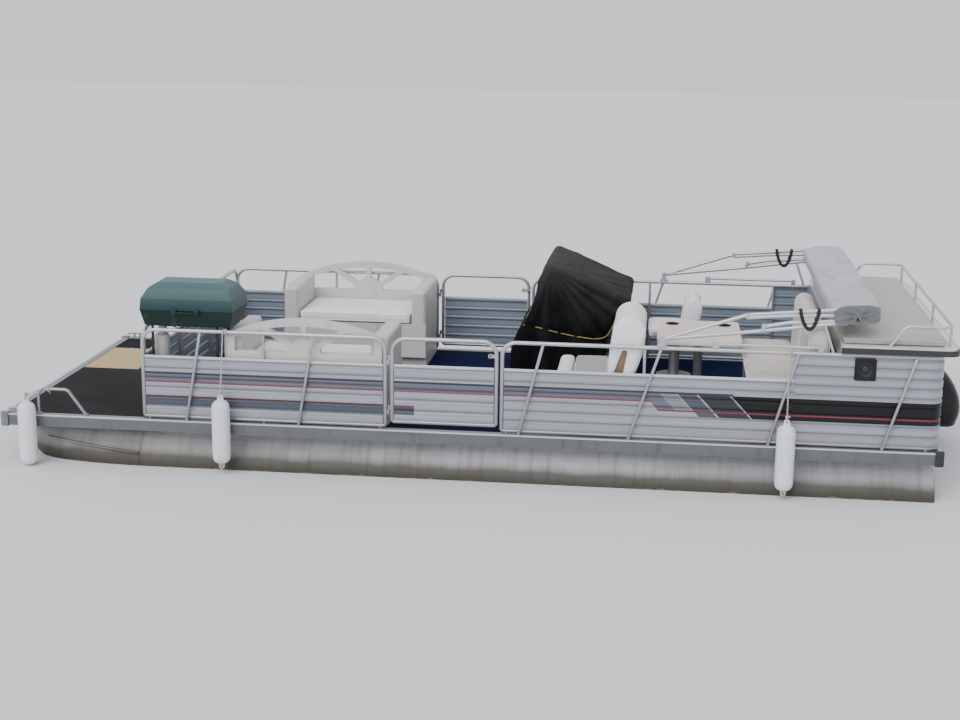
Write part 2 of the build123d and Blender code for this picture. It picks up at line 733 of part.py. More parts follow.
def couch_cushion():
    x0 = couch_x0 + COUCH_ARM_WIDTH + 4
    x1 = couch_x1 - COUCH_ARM_WIDTH - 4
    z0 = height(SEAT_HEIGHT) + RUNNING_GAP
    cushion = block(x0, x1, couch_back_face + 4, couch_inner + 12, z0, z0 + CUSHION_THICKNESS)
    return fillet(cushion.edges().filter_by(Axis.X), 24)


couch_pieces = {"couch_bases": couch_base(), "couch_backs": couch_back(), "couch_cushions": couch_cushion()}
for piece_name, shape in couch_pieces.items():
    node(piece_name, shape, to_starboard(shape))


# Console under its cloth cover
cover_wrap = COVER_THICKNESS + COVER_CLEARANCE
console_x = station(CONSOLE_FRONT)
console_end = console_x + CONSOLE_LENGTH
console_y1 = INNER_Y - cover_wrap - 2
console_y0 = console_y1 - CONSOLE_WIDTH


def console_outline():
    # Toe, raked front, ridge over the windscreen, dash down to the wheel, and the knee space under it
    front = console_x + cover_wrap
    back = console_end - cover_wrap
    top = height(CONSOLE_TOP) - cover_wrap
    return [(front, DECK_TOP), (front, top - 610), (front + 53, top - 497), (front + 146, top - 334),
            (front + 190, top - 110), (front + 249, top - 6), (front + 271, top), (back - 2, top - 231),
            (back - 4, top - 271), (back - 106, top - 353), (back - 173, top - 511), (back - 193, DECK_TOP)]


def console_cover():
    outline = console_outline()
    inner = COVER_CLEARANCE
    outer = cover_wrap
    cover = prism_y(outline, outer, console_y0 - outer, console_y1 + outer)
    cover -= prism_y(outline, inner, console_y0 - inner, console_y1 + inner)
    cover -= block(console_x - 200, console_end + 200, console_y0 - 100, console_y1 + 100,
                   DECK_TOP - 100, height(COVER_HEM))
    return cover


node("console", prism_y(console_outline(), 0, console_y0, console_y1))
node("console_cover", console_cover())


# Seat backs lean aft: a front face, a crown and a rear face as arcs, with a slot up the middle for the back board
# The outline is drawn for a back 366 mm over its seat, measured aft of the seat and over its cushion
BACK_RISE = 366.0
BACK_FOOT = CUSHION_THICKNESS


def back_points(x, seat_top, share, points):
    return [(x + share * aft, seat_top + share * rise) for aft, rise in points]


def seat_back(x, seat_top, share, y0, y1):
    outline = [(-8, -BACK_FOOT), (4, 85), (26, 260), (119, BACK_RISE), (232, 267), (208, 110), (128, -BACK_FOOT)]
    corners = [(px, y0, pz) for px, pz in back_points(x, seat_top, share, outline)]
    front = ThreePointArc(*corners[0:3])
    crown = ThreePointArc(*corners[2:5])
    rear = ThreePointArc(*corners[4:7])
    foot = Line(corners[6], corners[0])
    body = extrude(make_face([front, crown, rear, foot]), amount=y1 - y0, dir=(0, 1, 0))
    slot = [(26, -BACK_FOOT - 1), (44, 0), (92, 146), (118, 146), (92, 0), (74, -BACK_FOOT - 1)]
    return body - along_y(back_points(x, seat_top, share, slot), y0 - 1, y1 + 1)


# Helm seat on its swivel pedestal
helm_x = console_end + HELM_LEG_ROOM
SWIVEL_PLATE = 10.0
SWIVEL_R = 95.0


def helm_seat():
    top = height(HELM_SEAT_HEIGHT)
    base = top - CUSHION_THICKNESS
    y0 = HELM_SIDE - HELM_SEAT_WIDTH / 2
    y1 = HELM_SIDE + HELM_SEAT_WIDTH / 2
    half = HELM_SEAT_LENGTH / 2
    seat = block(helm_x - half, helm_x + half, y0, y1, base, top)
    seat = fillet(seat.edges().filter_by(Axis.Y), 22)
    foot = BACK_FOOT * HELM_BACK_SHARE
    back = seat_back(helm_x + 45, top, HELM_BACK_SHARE, y0, y1)
    shell = block(helm_x - half + 50, helm_x + half - 30, y0 + 30, y1 - 30, base - 1, top - foot)
    plate = Pos(helm_x, HELM_SIDE, base - SWIVEL_PLATE / 2) * Cylinder(SWIVEL_R, SWIVEL_PLATE)
    return seat + back + shell + plate


def pedestal(x, y, top, radius):
    post = Pos(x, y, (DECK_TOP + top) / 2) * Cylinder(radius, top - DECK_TOP)
    post += Pos(x, y, DECK_TOP + 6) * Cylinder(radius * 3.4, 12)
    post += Pos(x, y, top - 4) * Cylinder(radius * 2.2, 8)
    return post


helm_pedestal_top = height(HELM_SEAT_HEIGHT) - CUSHION_THICKNESS - SWIVEL_PLATE - RUNNING_GAP
node("helm_seat", helm_seat())


# Port lounge: one seat that faces forward, with a board up the middle of its back
lounge_x = station(LOUNGE_FRONT)
lounge_back_x = lounge_x + LOUNGE_SEAT
lounge_y0 = -INNER_Y
lounge_y1 = lounge_y0 + LOUNGE_WIDTH
lounge_seat_top = height(SEAT_HEIGHT) + RUNNING_GAP + CUSHION_THICKNESS
BASE_SETBACK = 40.0
BASE_TAIL = 128.0


def lounge_base():
    seat = height(SEAT_HEIGHT)
    base = block(lounge_x + BASE_SETBACK, lounge_back_x + BASE_TAIL, lounge_y0, lounge_y1, DECK_TOP, seat)
    base -= block(lounge_x, lounge_x + BASE_SETBACK + TOE_DEPTH, lounge_y0 - 1, lounge_y1 + 1, DECK_TOP - 1,
                  DECK_TOP + TOE_HEIGHT)
    board = [(27, -BACK_FOOT - 2), (45, 0), (93, 145), (117, 145), (91, 0), (73, -BACK_FOOT - 2)]
    return base + along_y(back_points(lounge_back_x, lounge_seat_top, 1.0, board), lounge_y0 + 6, lounge_y1 - 6)


def lounge_cushions():
    z0 = height(SEAT_HEIGHT) + RUNNING_GAP
    y0 = lounge_y0 + 4
    y1 = lounge_y1 - 4
    seat = block(lounge_x, lounge_back_x - 9, y0, y1, z0, lounge_seat_top)
    front_edges = seat.edges().filter_by(Axis.Y).sort_by(Axis.X)[:2]
    back = seat_back(lounge_back_x, lounge_seat_top, 1.0, y0, y1)
    return [fillet(front_edges, 36), back]


node("lounge_base", lounge_base())
node("lounge_cushions", *lounge_cushions())


# Aft lounge against the sun deck
sun_x = from_stern(SUNDECK_LENGTH)
aft_x = sun_x - AFT_SEAT_LENGTH
aft_y0 = -INNER_Y
aft_y1 = aft_y0 + AFT_SEAT_WIDTH


def aft_base():
    base = block(aft_x + BASE_SETBACK, sun_x - 5, aft_y0, aft_y1, DECK_TOP, height(SEAT_HEIGHT))
    return base - block(aft_x, aft_x + BASE_SETBACK + TOE_DEPTH, aft_y0 - 1, aft_y1 + 1, DECK_TOP - 1,
                        DECK_TOP + TOE_HEIGHT)


def aft_cushions():
    z0 = height(SEAT_HEIGHT) + RUNNING_GAP
    back_x = sun_x - AFT_BACK_DEPTH
    top = height(AFT_BACK_TOP)
    pieces = []
    middle = (aft_y0 + aft_y1) / 2
    for y0, y1 in ((aft_y0 + 4, middle - 2), (middle + 2, aft_y1 - 4)):
        seat = block(aft_x, back_x - 4, y0, y1, z0, z0 + CUSHION_THICKNESS)
        pieces.append(fillet(seat.edges().filter_by(Axis.Y).sort_by(Axis.X)[:2], 34))
        front = Line((back_x, y0, z0), (back_x + 12, y0, top - 66))
        crown = ThreePointArc((back_x + 12, y0, top - 66), (back_x + 78, y0, top), (sun_x - 46, y0, top - 62))
        rear = Line((sun_x - 46, y0, top - 62), (sun_x - 40, y0, z0))
        foot = Line((sun_x - 40, y0, z0), (back_x, y0, z0))
        pieces.append(extrude(make_face([front, crown, rear, foot]), amount=y1 - y0, dir=(0, 1, 0)))
    return pieces


node("aft_base", aft_base())
node("aft_cushions", *aft_cushions())


# Table on its pedestal
table_x = aft_x - TABLE_FROM_SEAT
table_top = height(TABLE_TOP)
table_board = block(table_x - TABLE_LENGTH / 2, table_x + TABLE_LENGTH / 2, TABLE_SIDE - TABLE_WIDTH / 2,
                    TABLE_SIDE + TABLE_WIDTH / 2, table_top - TABLE_THICKNESS, table_top)
table_board = fillet(table_board.edges().filter_by(Axis.Z), 40)
CUP_R = 40.0
CUP_DEPTH = 18.0
cup_y = TABLE_SIDE + 0.3 * TABLE_WIDTH
for cup_x in (-0.32, 0.32):
    table_board -= Pos(table_x + cup_x * TABLE_LENGTH, cup_y, table_top) * Cylinder(CUP_R, 2 * CUP_DEPTH)
node("table_top", table_board)
node("pedestals", pedestal(helm_x, HELM_SIDE, helm_pedestal_top, PEDESTAL_R),
     pedestal(table_x, TABLE_SIDE, table_top - TABLE_THICKNESS, PEDESTAL_R * 0.8))


# Sun deck over the motor well
slab_low = height(RAIL_TOP) + 4
slab_high = height(SUNDECK_TOP - SUNDECK_PAD * 0.75)
slab_aft = STERN + SUNDECK_OVERHANG
slab_y = HALF_BEAM - 24


def sundeck_base():
    wall = SUNDECK_WALL
    aft = STERN - TRIM_LIP - 2
    low = DECK_TOP
    front = block(sun_x, sun_x + wall, -INNER_Y, INNER_Y, low, slab_low - RUNNING_GAP)
    base = front
    for side in (-1, 1):
        inner = side * (WELL_HALF + 8)
        y0, y1 = sorted((inner, inner + side * wall))
        base += block(sun_x, aft, y0, y1, low, slab_low - RUNNING_GAP)
    return base


def sundeck_slab():
    rub_x0 = sun_x + 20
    slab = block(rub_x0, slab_aft, -slab_y, slab_y, slab_low, slab_high)
    return fillet(slab.edges().filter_by(Axis.Z).sort_by(Axis.X)[-2:], SUNDECK_CORNER)


def rub_strip():
    x0 = sun_x + 20
    proud = RUB_PROUD
    ring = block(x0, slab_aft + proud, -slab_y - proud, slab_y + proud, slab_low, slab_low + RUB_HEIGHT)
    ring = fillet(ring.edges().filter_by(Axis.Z).sort_by(Axis.X)[-2:], SUNDECK_CORNER + proud)
    hole = block(x0 - 1, slab_aft + RUNNING_GAP, -slab_y - RUNNING_GAP, slab_y + RUNNING_GAP, slab_low - 1,
                 slab_low + RUB_HEIGHT + 1)
    hole = fillet(hole.edges().filter_by(Axis.Z).sort_by(Axis.X)[-2:], SUNDECK_CORNER)
    return ring - hole


def sundeck_pad():
    pad = block(sun_x + 24, STERN - 6, -slab_y + 42, slab_y - 42, slab_high + RUNNING_GAP, height(SUNDECK_TOP))
    return fillet(pad.edges().group_by(Axis.Z)[-1], 14)


def sun_rails():
    y = slab_y - SUN_RAIL_INSET
    front = from_stern(SUN_RAIL_FOOT)
    knee = from_stern(SUN_RAIL_KNEE)
    aft = STERN + SUNDECK_OVERHANG - 40
    top = height(SUN_RAIL_TOP) - SUN_RAIL_R
    foot = slab_high
    path = [(front, -y, foot), (knee, -y, top), (aft, -y, top), (aft, y, top), (knee, y, top), (front, y, foot)]
    rail = bent_tube(path, SUN_RAIL_R, 60)
    for side_y in (-y + 75, -y * 0.33, y * 0.33, y - 75):
        rail += rod((aft, side_y, foot), (aft, side_y, top), SUN_RAIL_R - 1)
    return rail - block(front - 60, slab_aft, -slab_y - 40, slab_y + 40, foot - 40, foot)


node("sundeck_base", sundeck_base())
node("sundeck_slab", sundeck_slab())
node("sundeck_rub_strip", rub_strip())
node("sundeck_pad", sundeck_pad())
node("sundeck_rails", sun_rails())


# Folded canopy: rail mounts, the bows tied together, and the cloth boot round them
rail_top = height(RAIL_TOP)
pivot_x = from_stern(CANOPY_PIVOT_FROM_STERN)
pivot_z = rail_top + CANOPY_PIVOT_RISE
arm_y = FENCE_Y
# distance aft of the pivot and rise over the fence, at the start, the bend and the end of each bow
BOWS = [(0.0, 45.0, 525.0, 220.0, 1165.0, 278.0),
        (10.0, 47.0, 590.0, 118.0, 1115.0, 190.0),
        (525.0, 202.0, 765.0, 222.0, 1225.0, 240.0),
        (625.0, 150.0, 785.0, 180.0, 1195.0, 205.0)]
# the same for the two ends of each slide block, the prop leg and the rail strut
BOW_BLOCKS = [(525.0, 195.0, 525.0, 228.0), (620.0, 118.0, 630.0, 165.0)]
PROP_LEG = (995.0, 175.0, 1065.0, -20.0)
STRUT = (325.0, 995.0)
STRUT_RISE = 26.0


def canopy_point(aft, rise, y):
    return (pivot_x + aft, y, rail_top + rise)


def prop_leg(side, radius):
    y = side * arm_y
    x0, z0, x1, z1 = PROP_LEG
    leg = rod(canopy_point(x0, z0, y), canopy_point(x1, z1, y), radius)
    return leg - block(pivot_x + x0 - 30, pivot_x + x1 + 50, y - 30, y + 30, rail_top - 60, rail_top + RUNNING_GAP)


def canopy_bows():
    frame = None
    for x0, z0, x1, z1, x2, z2 in BOWS:
        near = [canopy_point(x0, z0, -arm_y), canopy_point(x1, z1, -arm_y), canopy_point(x2, z2, -arm_y)]
        far = [(x, -y, z) for x, y, z in reversed(near)]
        hoop = bent_tube(near + far, BOW_R, 60)
        frame = hoop if frame is None else frame + hoop
    for side in (-1, 1):
        y = side * arm_y
        for x0, z0, x1, z1 in BOW_BLOCKS:
            frame += rod(canopy_point(x0, z0, y), canopy_point(x1, z1, y), BOW_R + 4)
        frame += prop_leg(side, SMALL_TUBE_R - 0.5)
        frame += Pos(pivot_x, y, pivot_z) * Rot(90, 0, 0) * Cylinder(BOW_R + 3, 22)
        frame -= Pos(pivot_x, y, pivot_z) * Rot(90, 0, 0) * Cylinder(PIN_R + RUNNING_GAP, 60)
    return frame


def canopy_mounts():
    mounts = []
    seat = rail_top + 0.2
    for side in (-1, 1):
        y = side * arm_y
        mount = block(pivot_x - 28, pivot_x + 28, y - 20, y + 20, seat, rail_top + 10)
        for cheek in (-1, 1):
            cy = y + cheek * 15
            mount += block(pivot_x - 16, pivot_x + 16, cy - 3, cy + 3, rail_top + 5, pivot_z + 14)
        mount += Pos(pivot_x, y, pivot_z) * Rot(90, 0, 0) * Cylinder(PIN_R, 36)
        mounts.append(mount)
        x0, x1 = pivot_x + STRUT[0], pivot_x + STRUT[1]
        strut_z = rail_top + STRUT_RISE
        strut = rod((x0, y, strut_z), (x1, y, strut_z), SMALL_TUBE_R - 0.5)
        strut += block(x0 - 10, x0 + 30, y - 14, y + 14, seat, strut_z + 14)
        strut += block(x1 - 30, x1, y - 12, y + 12, seat, strut_z + 10)
        mounts.append(strut)
    return mounts


def canopy_boot():
    half = arm_y + BOW_R + 10
    middle = canopy_point(BOOT_AFT_OF_PIVOT, BOOT_RISE, -half)
    across = Plane(origin=middle, x_dir=(1, 0, 0), z_dir=(0, 1, 0)) * Rot(0, 0, -BOOT_TILT)
    body = extrude(across * RectangleRounded(BOOT_LENGTH, BOOT_DEPTH, BOOT_ROUND), amount=2 * half)
    for x0, z0, x1, z1, x2, z2 in BOWS:
        near = [canopy_point(x1, z1, -arm_y), canopy_point(x2, z2, -arm_y)]
        far = [(x, -y, z) for x, y, z in reversed(near)]
        body -= bent_tube(near + far, BOW_R + 2 * RUNNING_GAP, 60)
    for side in (-1, 1):
        body -= prop_leg(side, SMALL_TUBE_R + 0.5)
    return body


node("canopy_bows", canopy_bows())
node("canopy_mounts", *canopy_mounts())
node("canopy_boot", canopy_boot())


# Grill on its stand in the port bow corner
grill_x0 = station(GRILL_FRONT)
grill_x1 = grill_x0 + GRILL_LENGTH
grill_y0 = -FENCE_Y - TUBE_R
grill_y1 = grill_y0 + GRILL_WIDTH
grill_base = height(GRILL_BASE)
grill_rim = height(GRILL_RIM)
grill_top = height(GRILL_TOP)
LID_GAP = RUNNING_GAP
hinge_y = grill_y0 - 18
hinge_z = grill_rim - 12


def grill_body():
    middle = ((grill_x0 + grill_x1) / 2, (grill_y0 + grill_y1) / 2)
    low = Plane(origin=(*middle, grill_base)) * Rectangle(GRILL_LENGTH - 50, GRILL_WIDTH - 50)
    high = Plane(origin=(*middle, grill_rim)) * Rectangle(GRILL_LENGTH, GRILL_WIDTH)
    shell = loft([low, high], ruled=True)
    low = Plane(origin=(*middle, grill_base + GRILL_WALL)) * Rectangle(GRILL_LENGTH - 66, GRILL_WIDTH - 66)
    high = Plane(origin=(*middle, grill_rim + 0.1)) * Rectangle(GRILL_LENGTH - 20, GRILL_WIDTH - 20)
    shell -= loft([low, high], ruled=True)
    hinge = Pos(middle[0], hinge_y, hinge_z) * Rot(0, 90, 0) * Cylinder(6, 190)
    hinge += block(middle[0] - 55, middle[0] + 55, hinge_y, grill_y0 + 6, hinge_z - 4, hinge_z + 4)
    return shell + hinge


def lid_shell(inset, lower):
    middle = ((grill_x0 + grill_x1) / 2, (grill_y0 + grill_y1) / 2)
    rise = grill_top - grill_rim - LID_GAP
    # share of the rise, length trimmed off, width trimmed off
    steps = [(0.0, 0.0, 0.0), (0.42, 12.0, 16.0), (0.8, 90.0, 90.0), (1.0, 200.0, 190.0)]
    sections = []
    for share, trim_x, trim_y in steps:
        z = grill_rim + LID_GAP + share * (rise - lower)
        size = (GRILL_LENGTH - trim_x - 2 * inset, GRILL_WIDTH - trim_y - 2 * inset)
        sections.append(Plane(origin=(*middle, z)) * Rectangle(*size))
    return loft(sections, ruled=True)


def grill_lid():
    lid = lid_shell(0, 0) - Pos(0, 0, -0.1) * lid_shell(8, 8)
    handle_y = grill_y1 + 26
    mid = (grill_x0 + grill_x1) / 2
    level = grill_rim + 40
    for dx in (-140, 140):
        lid += rod((mid + dx, grill_y1 - 6, level), (mid + dx, handle_y, level), 6)
    lid += rod((mid - 160, handle_y, level), (mid + 160, handle_y, level), 10)
    for dx in (-75, 75):
        x0 = mid + dx - 14
        lid += block(x0, x0 + 28, hinge_y - 11, hinge_y + 11, hinge_z - 11, hinge_z + 11)
        lid += block(x0, x0 + 28, hinge_y - 11, grill_y0 + 7, grill_rim + LID_GAP, grill_rim + LID_GAP + 8)
        lid += block(x0, x0 + 28, hinge_y - 11, hinge_y - 2, hinge_z, grill_rim + LID_GAP + 8)
        lid -= Pos(mid + dx, hinge_y, hinge_z) * Rot(0, 90, 0) * Cylinder(6 + RUNNING_GAP, 60)
    return lid


def grill_stand():
    legs_y = (-INNER_Y + 20, grill_y1 - 45)
    tray_z = grill_base - 0.2
    tray_end = couch_x0 - 25
    stand = block(grill_x0 + 50, tray_end, legs_y[0] - 12, legs_y[1] + 12, tray_z - 8, tray_z)
    for x in (grill_x0 + 65, tray_end - 15):
        for y in legs_y:
            stand += rod((x, y, DECK_TOP), (x, y, tray_z - 2), 9)
        stand += rod((x, legs_y[0], DECK_TOP + 140), (x, legs_y[1], DECK_TOP + 140), 7)
    return stand


BOTTLE_R = 50.0
BOTTLE_LENGTH = 217.0
bottle_x = grill_x0 + 98.0
bottle_y = grill_y0 + 150.0


def gas_bottle():
    top = grill_base - 8 - 0.2
    shoulder = top - 70
    body = Pos(bottle_x, bottle_y, shoulder - BOTTLE_LENGTH / 2) * Cylinder(BOTTLE_R, BOTTLE_LENGTH)
    body = fillet(body.edges().filter_by(GeomType.CIRCLE), 18)
    neck = Pos(bottle_x, bottle_y, top - 45) * Cylinder(24, 90)
    return body + neck


node("grill_body", grill_body())
node("grill_lid", grill_lid())
node("grill_stand", grill_stand())
node("gas_bottle", gas_bottle())


# Motor pod between the floats, and the motor on its transom
tilt_x = from_stern(TILT_FROM_STERN)
tilt_z = height(TILT_HEIGHT)
steer_x = tilt_x + STEER_AFT_OF_TILT
transom_x = from_stern(TRANSOM_FROM_STERN)
transom_aft = transom_x + TRANSOM_THICKNESS


def motor_pod():
    top = height(TRANSOM_TOP)
    low = height(TRANSOM_BOTTOM)
    pod = block(transom_x, transom_aft, -POD_HALF, POD_HALF, low, top)
    front = WELL_FRONT - POD_REACH
    for side in (-1, 1):
        y0, y1 = sorted((side * POD_HALF, side * (POD_HALF + GUSSET)))
        profile = [(transom_aft, low), (transom_aft, top + 60), (WELL_FRONT - 10, MEMBER_BOTTOM - 0.2),
                   (front, MEMBER_BOTTOM - 0.2), (front, MEMBER_BOTTOM - 60), (WELL_FRONT - 40, low + 60)]
        pod += prism_y(profile, 0, y0, y1)
    floor_profile = [(transom_aft, low), (transom_aft, low + 5), (WELL_FRONT - 40, low + 65),
                     (front, MEMBER_BOTTOM - 55),
                     (front, MEMBER_BOTTOM - 60), (WELL_FRONT - 40, low + 60)]
    return pod + prism_y(floor_profile, 0, -POD_HALF - GUSSET, POD_HALF + GUSSET)


CLAMP_HALF = 95.0
CLAMP_PLATE = 16.0
TILT_TUBE_R = 13.0


def motor_clamp():
    top = height(TRANSOM_TOP)
    clamp = None
    for side in (-1, 1):
        y0, y1 = sorted((side * (CLAMP_HALF - CLAMP_PLATE), side * CLAMP_HALF))
        profile = [(transom_x - 40, top - 130), (transom_x - 40, tilt_z + 20), (transom_x + 15, tilt_z + 20),
                   (transom_aft + 22, top + 10), (transom_aft + 22, top - 260), (transom_aft + 0.2, top - 260),
                   (transom_aft + 0.2, top + 0.2), (transom_x - 0.2, top + 0.2), (transom_x - 0.2, top - 130)]
        arm = prism_y(profile, 0, y0, y1)
        clamp = arm if clamp is None else clamp + arm
    clamp += Pos(tilt_x, 0, tilt_z) * Rot(90, 0, 0) * Cylinder(TILT_TUBE_R, 2 * CLAMP_HALF + 30)
    return clamp


SWIVEL_TUBE_R = 30.0
swivel_top = height(-165.0)
swivel_low = height(-400.0)
STEER_TUBE_R = 16.0


def motor_swivel():
    half = CLAMP_HALF - CLAMP_PLATE - 6
    collar = Pos(tilt_x, 0, tilt_z) * Rot(90, 0, 0) * Cylinder(TILT_TUBE_R + 12, 2 * half)
    tube = Pos(steer_x, 0, (swivel_top + swivel_low) / 2) * Cylinder(SWIVEL_TUBE_R, swivel_top - swivel_low)
    profile = [(tilt_x, tilt_z + 10), (steer_x - 50, swivel_top), (steer_x, swivel_top),
               (steer_x, swivel_low + 20),
               (steer_x - 20, swivel_low + 20),
               (transom_aft + 30, height(TRANSOM_TOP) - 30), (transom_aft + 30, height(TRANSOM_TOP) + 18),
               (tilt_x, height(TRANSOM_TOP) + 30)]
    web = prism_y(profile, 0, -22, 22)
    swivel = collar + tube + web
    swivel -= Pos(tilt_x, 0, tilt_z) * Rot(90, 0, 0) * Cylinder(TILT_TUBE_R + RUNNING_GAP, 400)
    swivel -= Pos(steer_x, 0, (swivel_top + swivel_low) / 2) * Cylinder(STEER_TUBE_R + RUNNING_GAP, 400)
    return swivel


leg_x = steer_x + SWIVEL_TUBE_R + 10 + LEG_LENGTH / 2
cowl_x0 = leg_x - COWL_FRONT_REACH
cowl_length = COWL_FRONT_REACH + COWL_AFT_REACH
cowl_low = height(COWL_BOTTOM)
cowl_top = height(COWL_TOP)


def motor_cowl():
    # share of the height, front and aft setback, width share, corner radius as a share of half the width
    table = [(0.0, 20.0, 34.0, 0.84, 0.5), (0.32, 0.0, 0.0, 1.0, 0.55), (0.72, 24.0, 46.0, 0.95, 0.57),
             (1.0, 110.0, 130.0, 0.66, 0.73)]
    sections = []
    for share, front, aft, wide, corner in table:
        length = cowl_length - front - aft
        x = cowl_x0 + front + length / 2
        z = cowl_low + share * (cowl_top - cowl_low)
        width = COWL_WIDTH * wide
        sections.append(Plane(origin=(x, 0, z)) * RectangleRounded(length, width, corner * width / 2))
    return loft(sections)


prop_z = height(PROP_HEIGHT)
plate_z = height(PROP_HEIGHT + PROP_RADIUS + 22)
GEAR_AHEAD = 95.0
GEAR_BEHIND = 150.0
GEAR_TIP = 70.0
LEG_FOOT_WIDTH = 80.0
PLATE_LENGTH = 360.0
PLATE_WIDTH = 190.0
PLATE_SHEET = 9.0
STRUT_LENGTH = 160.0
STRUT_WIDTH = 48.0
SKEG_AHEAD = 60.0
SKEG_BEHIND = 95.0
SKEG_SHEET = 10.0
HUB_LENGTH = 96.0
BLADE_WIDTH = 116.0
BLADE_SHEET = 6.0
gear_front = leg_x - GEAR_AHEAD
gear_aft = leg_x + GEAR_BEHIND


def motor_leg():
    column_top = cowl_low - RUNNING_GAP
    upper = Plane(origin=(leg_x, 0, column_top)) * RectangleRounded(LEG_LENGTH, LEG_WIDTH, 0.4 * LEG_WIDTH)
    foot_section = RectangleRounded(0.88 * LEG_LENGTH, LEG_FOOT_WIDTH, 0.475 * LEG_FOOT_WIDTH)
    lower = Plane(origin=(leg_x, 0, plate_z)) * foot_section
    leg = loft([upper, lower], ruled=True)
    leg += block(steer_x - 24, leg_x, -24, 24, swivel_top + RUNNING_GAP, column_top)
    leg += block(steer_x - 24, leg_x, -20, 20, swivel_low - 40, swivel_low - RUNNING_GAP)
    steer_length = swivel_top - swivel_low + 20
    leg += Pos(steer_x, 0, (swivel_top + swivel_low) / 2) * Cylinder(STEER_TUBE_R, steer_length)
    plate_origin = (leg_x + PLATE_LENGTH / 6, 0, plate_z)
    plate = Plane(origin=plate_origin) * RectangleRounded(PLATE_LENGTH, PLATE_WIDTH, 0.42 * PLATE_WIDTH)
    leg += extrude(plate, amount=PLATE_SHEET)
    strut = Plane(origin=(leg_x + 5, 0, plate_z)) * Ellipse(STRUT_LENGTH / 2, STRUT_WIDTH / 2)
    leg += extrude(strut, amount=prop_z - plate_z)
    nose = [(gear_front - GEAR_TIP, 0), (gear_front - 20, GEAR_R * 0.75), (gear_front + 60, GEAR_R),
            (gear_aft - 60, GEAR_R), (gear_aft, GEAR_R * 0.8), (gear_aft, 0)]
    profile = make_face(Polyline([(x, 0, prop_z + r) for x, r in nose], close=True))
    leg += revolve(profile, Axis((0, 0, prop_z), (1, 0, 0)), 360)
    skeg_tip = height(SKEG_HEIGHT)
    skeg = [(leg_x - SKEG_AHEAD, prop_z), (leg_x + SKEG_BEHIND - 5, prop_z), (leg_x + SKEG_BEHIND, skeg_tip),
            (leg_x + SKEG_BEHIND - 75, skeg_tip)]
    leg += prism_y(skeg, 0, -SKEG_SHEET / 2, SKEG_SHEET / 2)
    return leg


def propeller():
    hub_x0 = gear_aft + RUNNING_GAP
    hub_x1 = hub_x0 + HUB_LENGTH
    hub = Pos((hub_x0 + hub_x1) / 2, 0, prop_z) * Rot(0, 90, 0) * Cylinder(GEAR_R * 0.72, hub_x1 - hub_x0)
    for turn in (0, 120, 240):
        blade_plane = Plane(origin=(-BLADE_SHEET / 2, 0, 0), x_dir=(0, 1, 0), z_dir=(1, 0, 0))
        outline = blade_plane * Ellipse(BLADE_WIDTH / 2, PROP_RADIUS / 2 - 8)
        blade = Rot(0, 0, 28) * (Pos(0, 0, PROP_RADIUS / 2 + 8) * extrude(outline, amount=BLADE_SHEET))
        hub += Pos((hub_x0 + hub_x1) / 2, 0, prop_z) * Rot(turn, 0, 0) * blade
    return hub


node("motor_pod", motor_pod())
node("motor_clamp", motor_clamp())
node("motor_swivel", motor_swivel())
node("motor_cowl", motor_cowl())
node("motor_leg", motor_leg())
node("propeller", propeller())


# Fenders, each on a rope that is hitched over a rail and knotted at the fender's eye
# name, place of the fender, height of its middle, and the rail that holds it: tie's place, centre and radius
FENDERS = [("bow", station(200.0), -110.0, station(HOOP_FRONT + 58.0), hoop_y, hoop_z, HOOP_R),
           ("middle", station(1512.0), -43.0, station(1514.0), -FENCE_Y, RAIL_Z, TUBE_R),
           ("aft", from_stern(971.0), -52.0, from_stern(969.0), -FENCE_Y, RAIL_Z, TUBE_R)]
fender_y = -(HALF_BEAM + FENDER_RADIUS + RUNNING_GAP)
HITCH_TAIL = 14.0


def fender(x, z):
    half = FENDER_LENGTH / 2
    body = Pos(x, fender_y, z) * Cylinder(FENDER_RADIUS, FENDER_LENGTH)
    body = fillet(body.edges().filter_by(GeomType.CIRCLE), 40)
    for end in (-1, 1):
        eye_z = z + end * (half + LUG_RISE - LUG_R)
        z0, z1 = sorted((z + end * (half - 12), eye_z))
        lug = block(x - LUG_R, x + LUG_R, fender_y - LUG_THICKNESS / 2, fender_y + LUG_THICKNESS / 2, z0, z1)
        lug += Pos(x, fender_y, eye_z) * Rot(90, 0, 0) * Cylinder(LUG_R, LUG_THICKNESS)
        body += lug - Pos(x, fender_y, eye_z) * Rot(90, 0, 0) * Cylinder(EYE_R, LUG_THICKNESS + 2)
    return body


def rope_route(x, lug_top, tie_x, rail_y, rail_z, rail_r):
    # Up the inside of the rail, over it, and straight down to the lug
    wrap = rail_r + ROPE_R + RUNNING_GAP
    over = rail_z + wrap
    aim = Vector(x - tie_x, fender_y - rail_y, lug_top - over)
    turn = aim.get_angle(Vector(0, -1, 0))
    outer = rail_y - wrap * tan(radians(turn / 2)) - 2
    tilt = hypot(aim.X, aim.Y) / aim.length
    end_z = lug_top + ROPE_R * tilt + RUNNING_GAP
    return [(tie_x, rail_y + wrap, rail_z - HITCH_TAIL), (tie_x, rail_y + wrap, over), (tie_x, outer, over),
            (x, fender_y, end_z)]


fenders = []
for fender_name, place, middle, tie_x, rail_y, rail_z, rail_r in FENDERS:
    z = height(middle)
    fenders.append(fender(place, z))
    route = rope_route(place, z + FENDER_LENGTH / 2 + LUG_RISE, tie_x, rail_y, rail_z, rail_r)
    bend = rail_r + ROPE_R - 0.2
    node("rope_" + fender_name, bent_tube(route, ROPE_R, bend))
    rounded = [tuple(round(value, 1) for value in point) for point in route]
    print("rope", fender_name, "bend radius", round(bend, 1), "route", rounded)
node("fenders", *fenders)


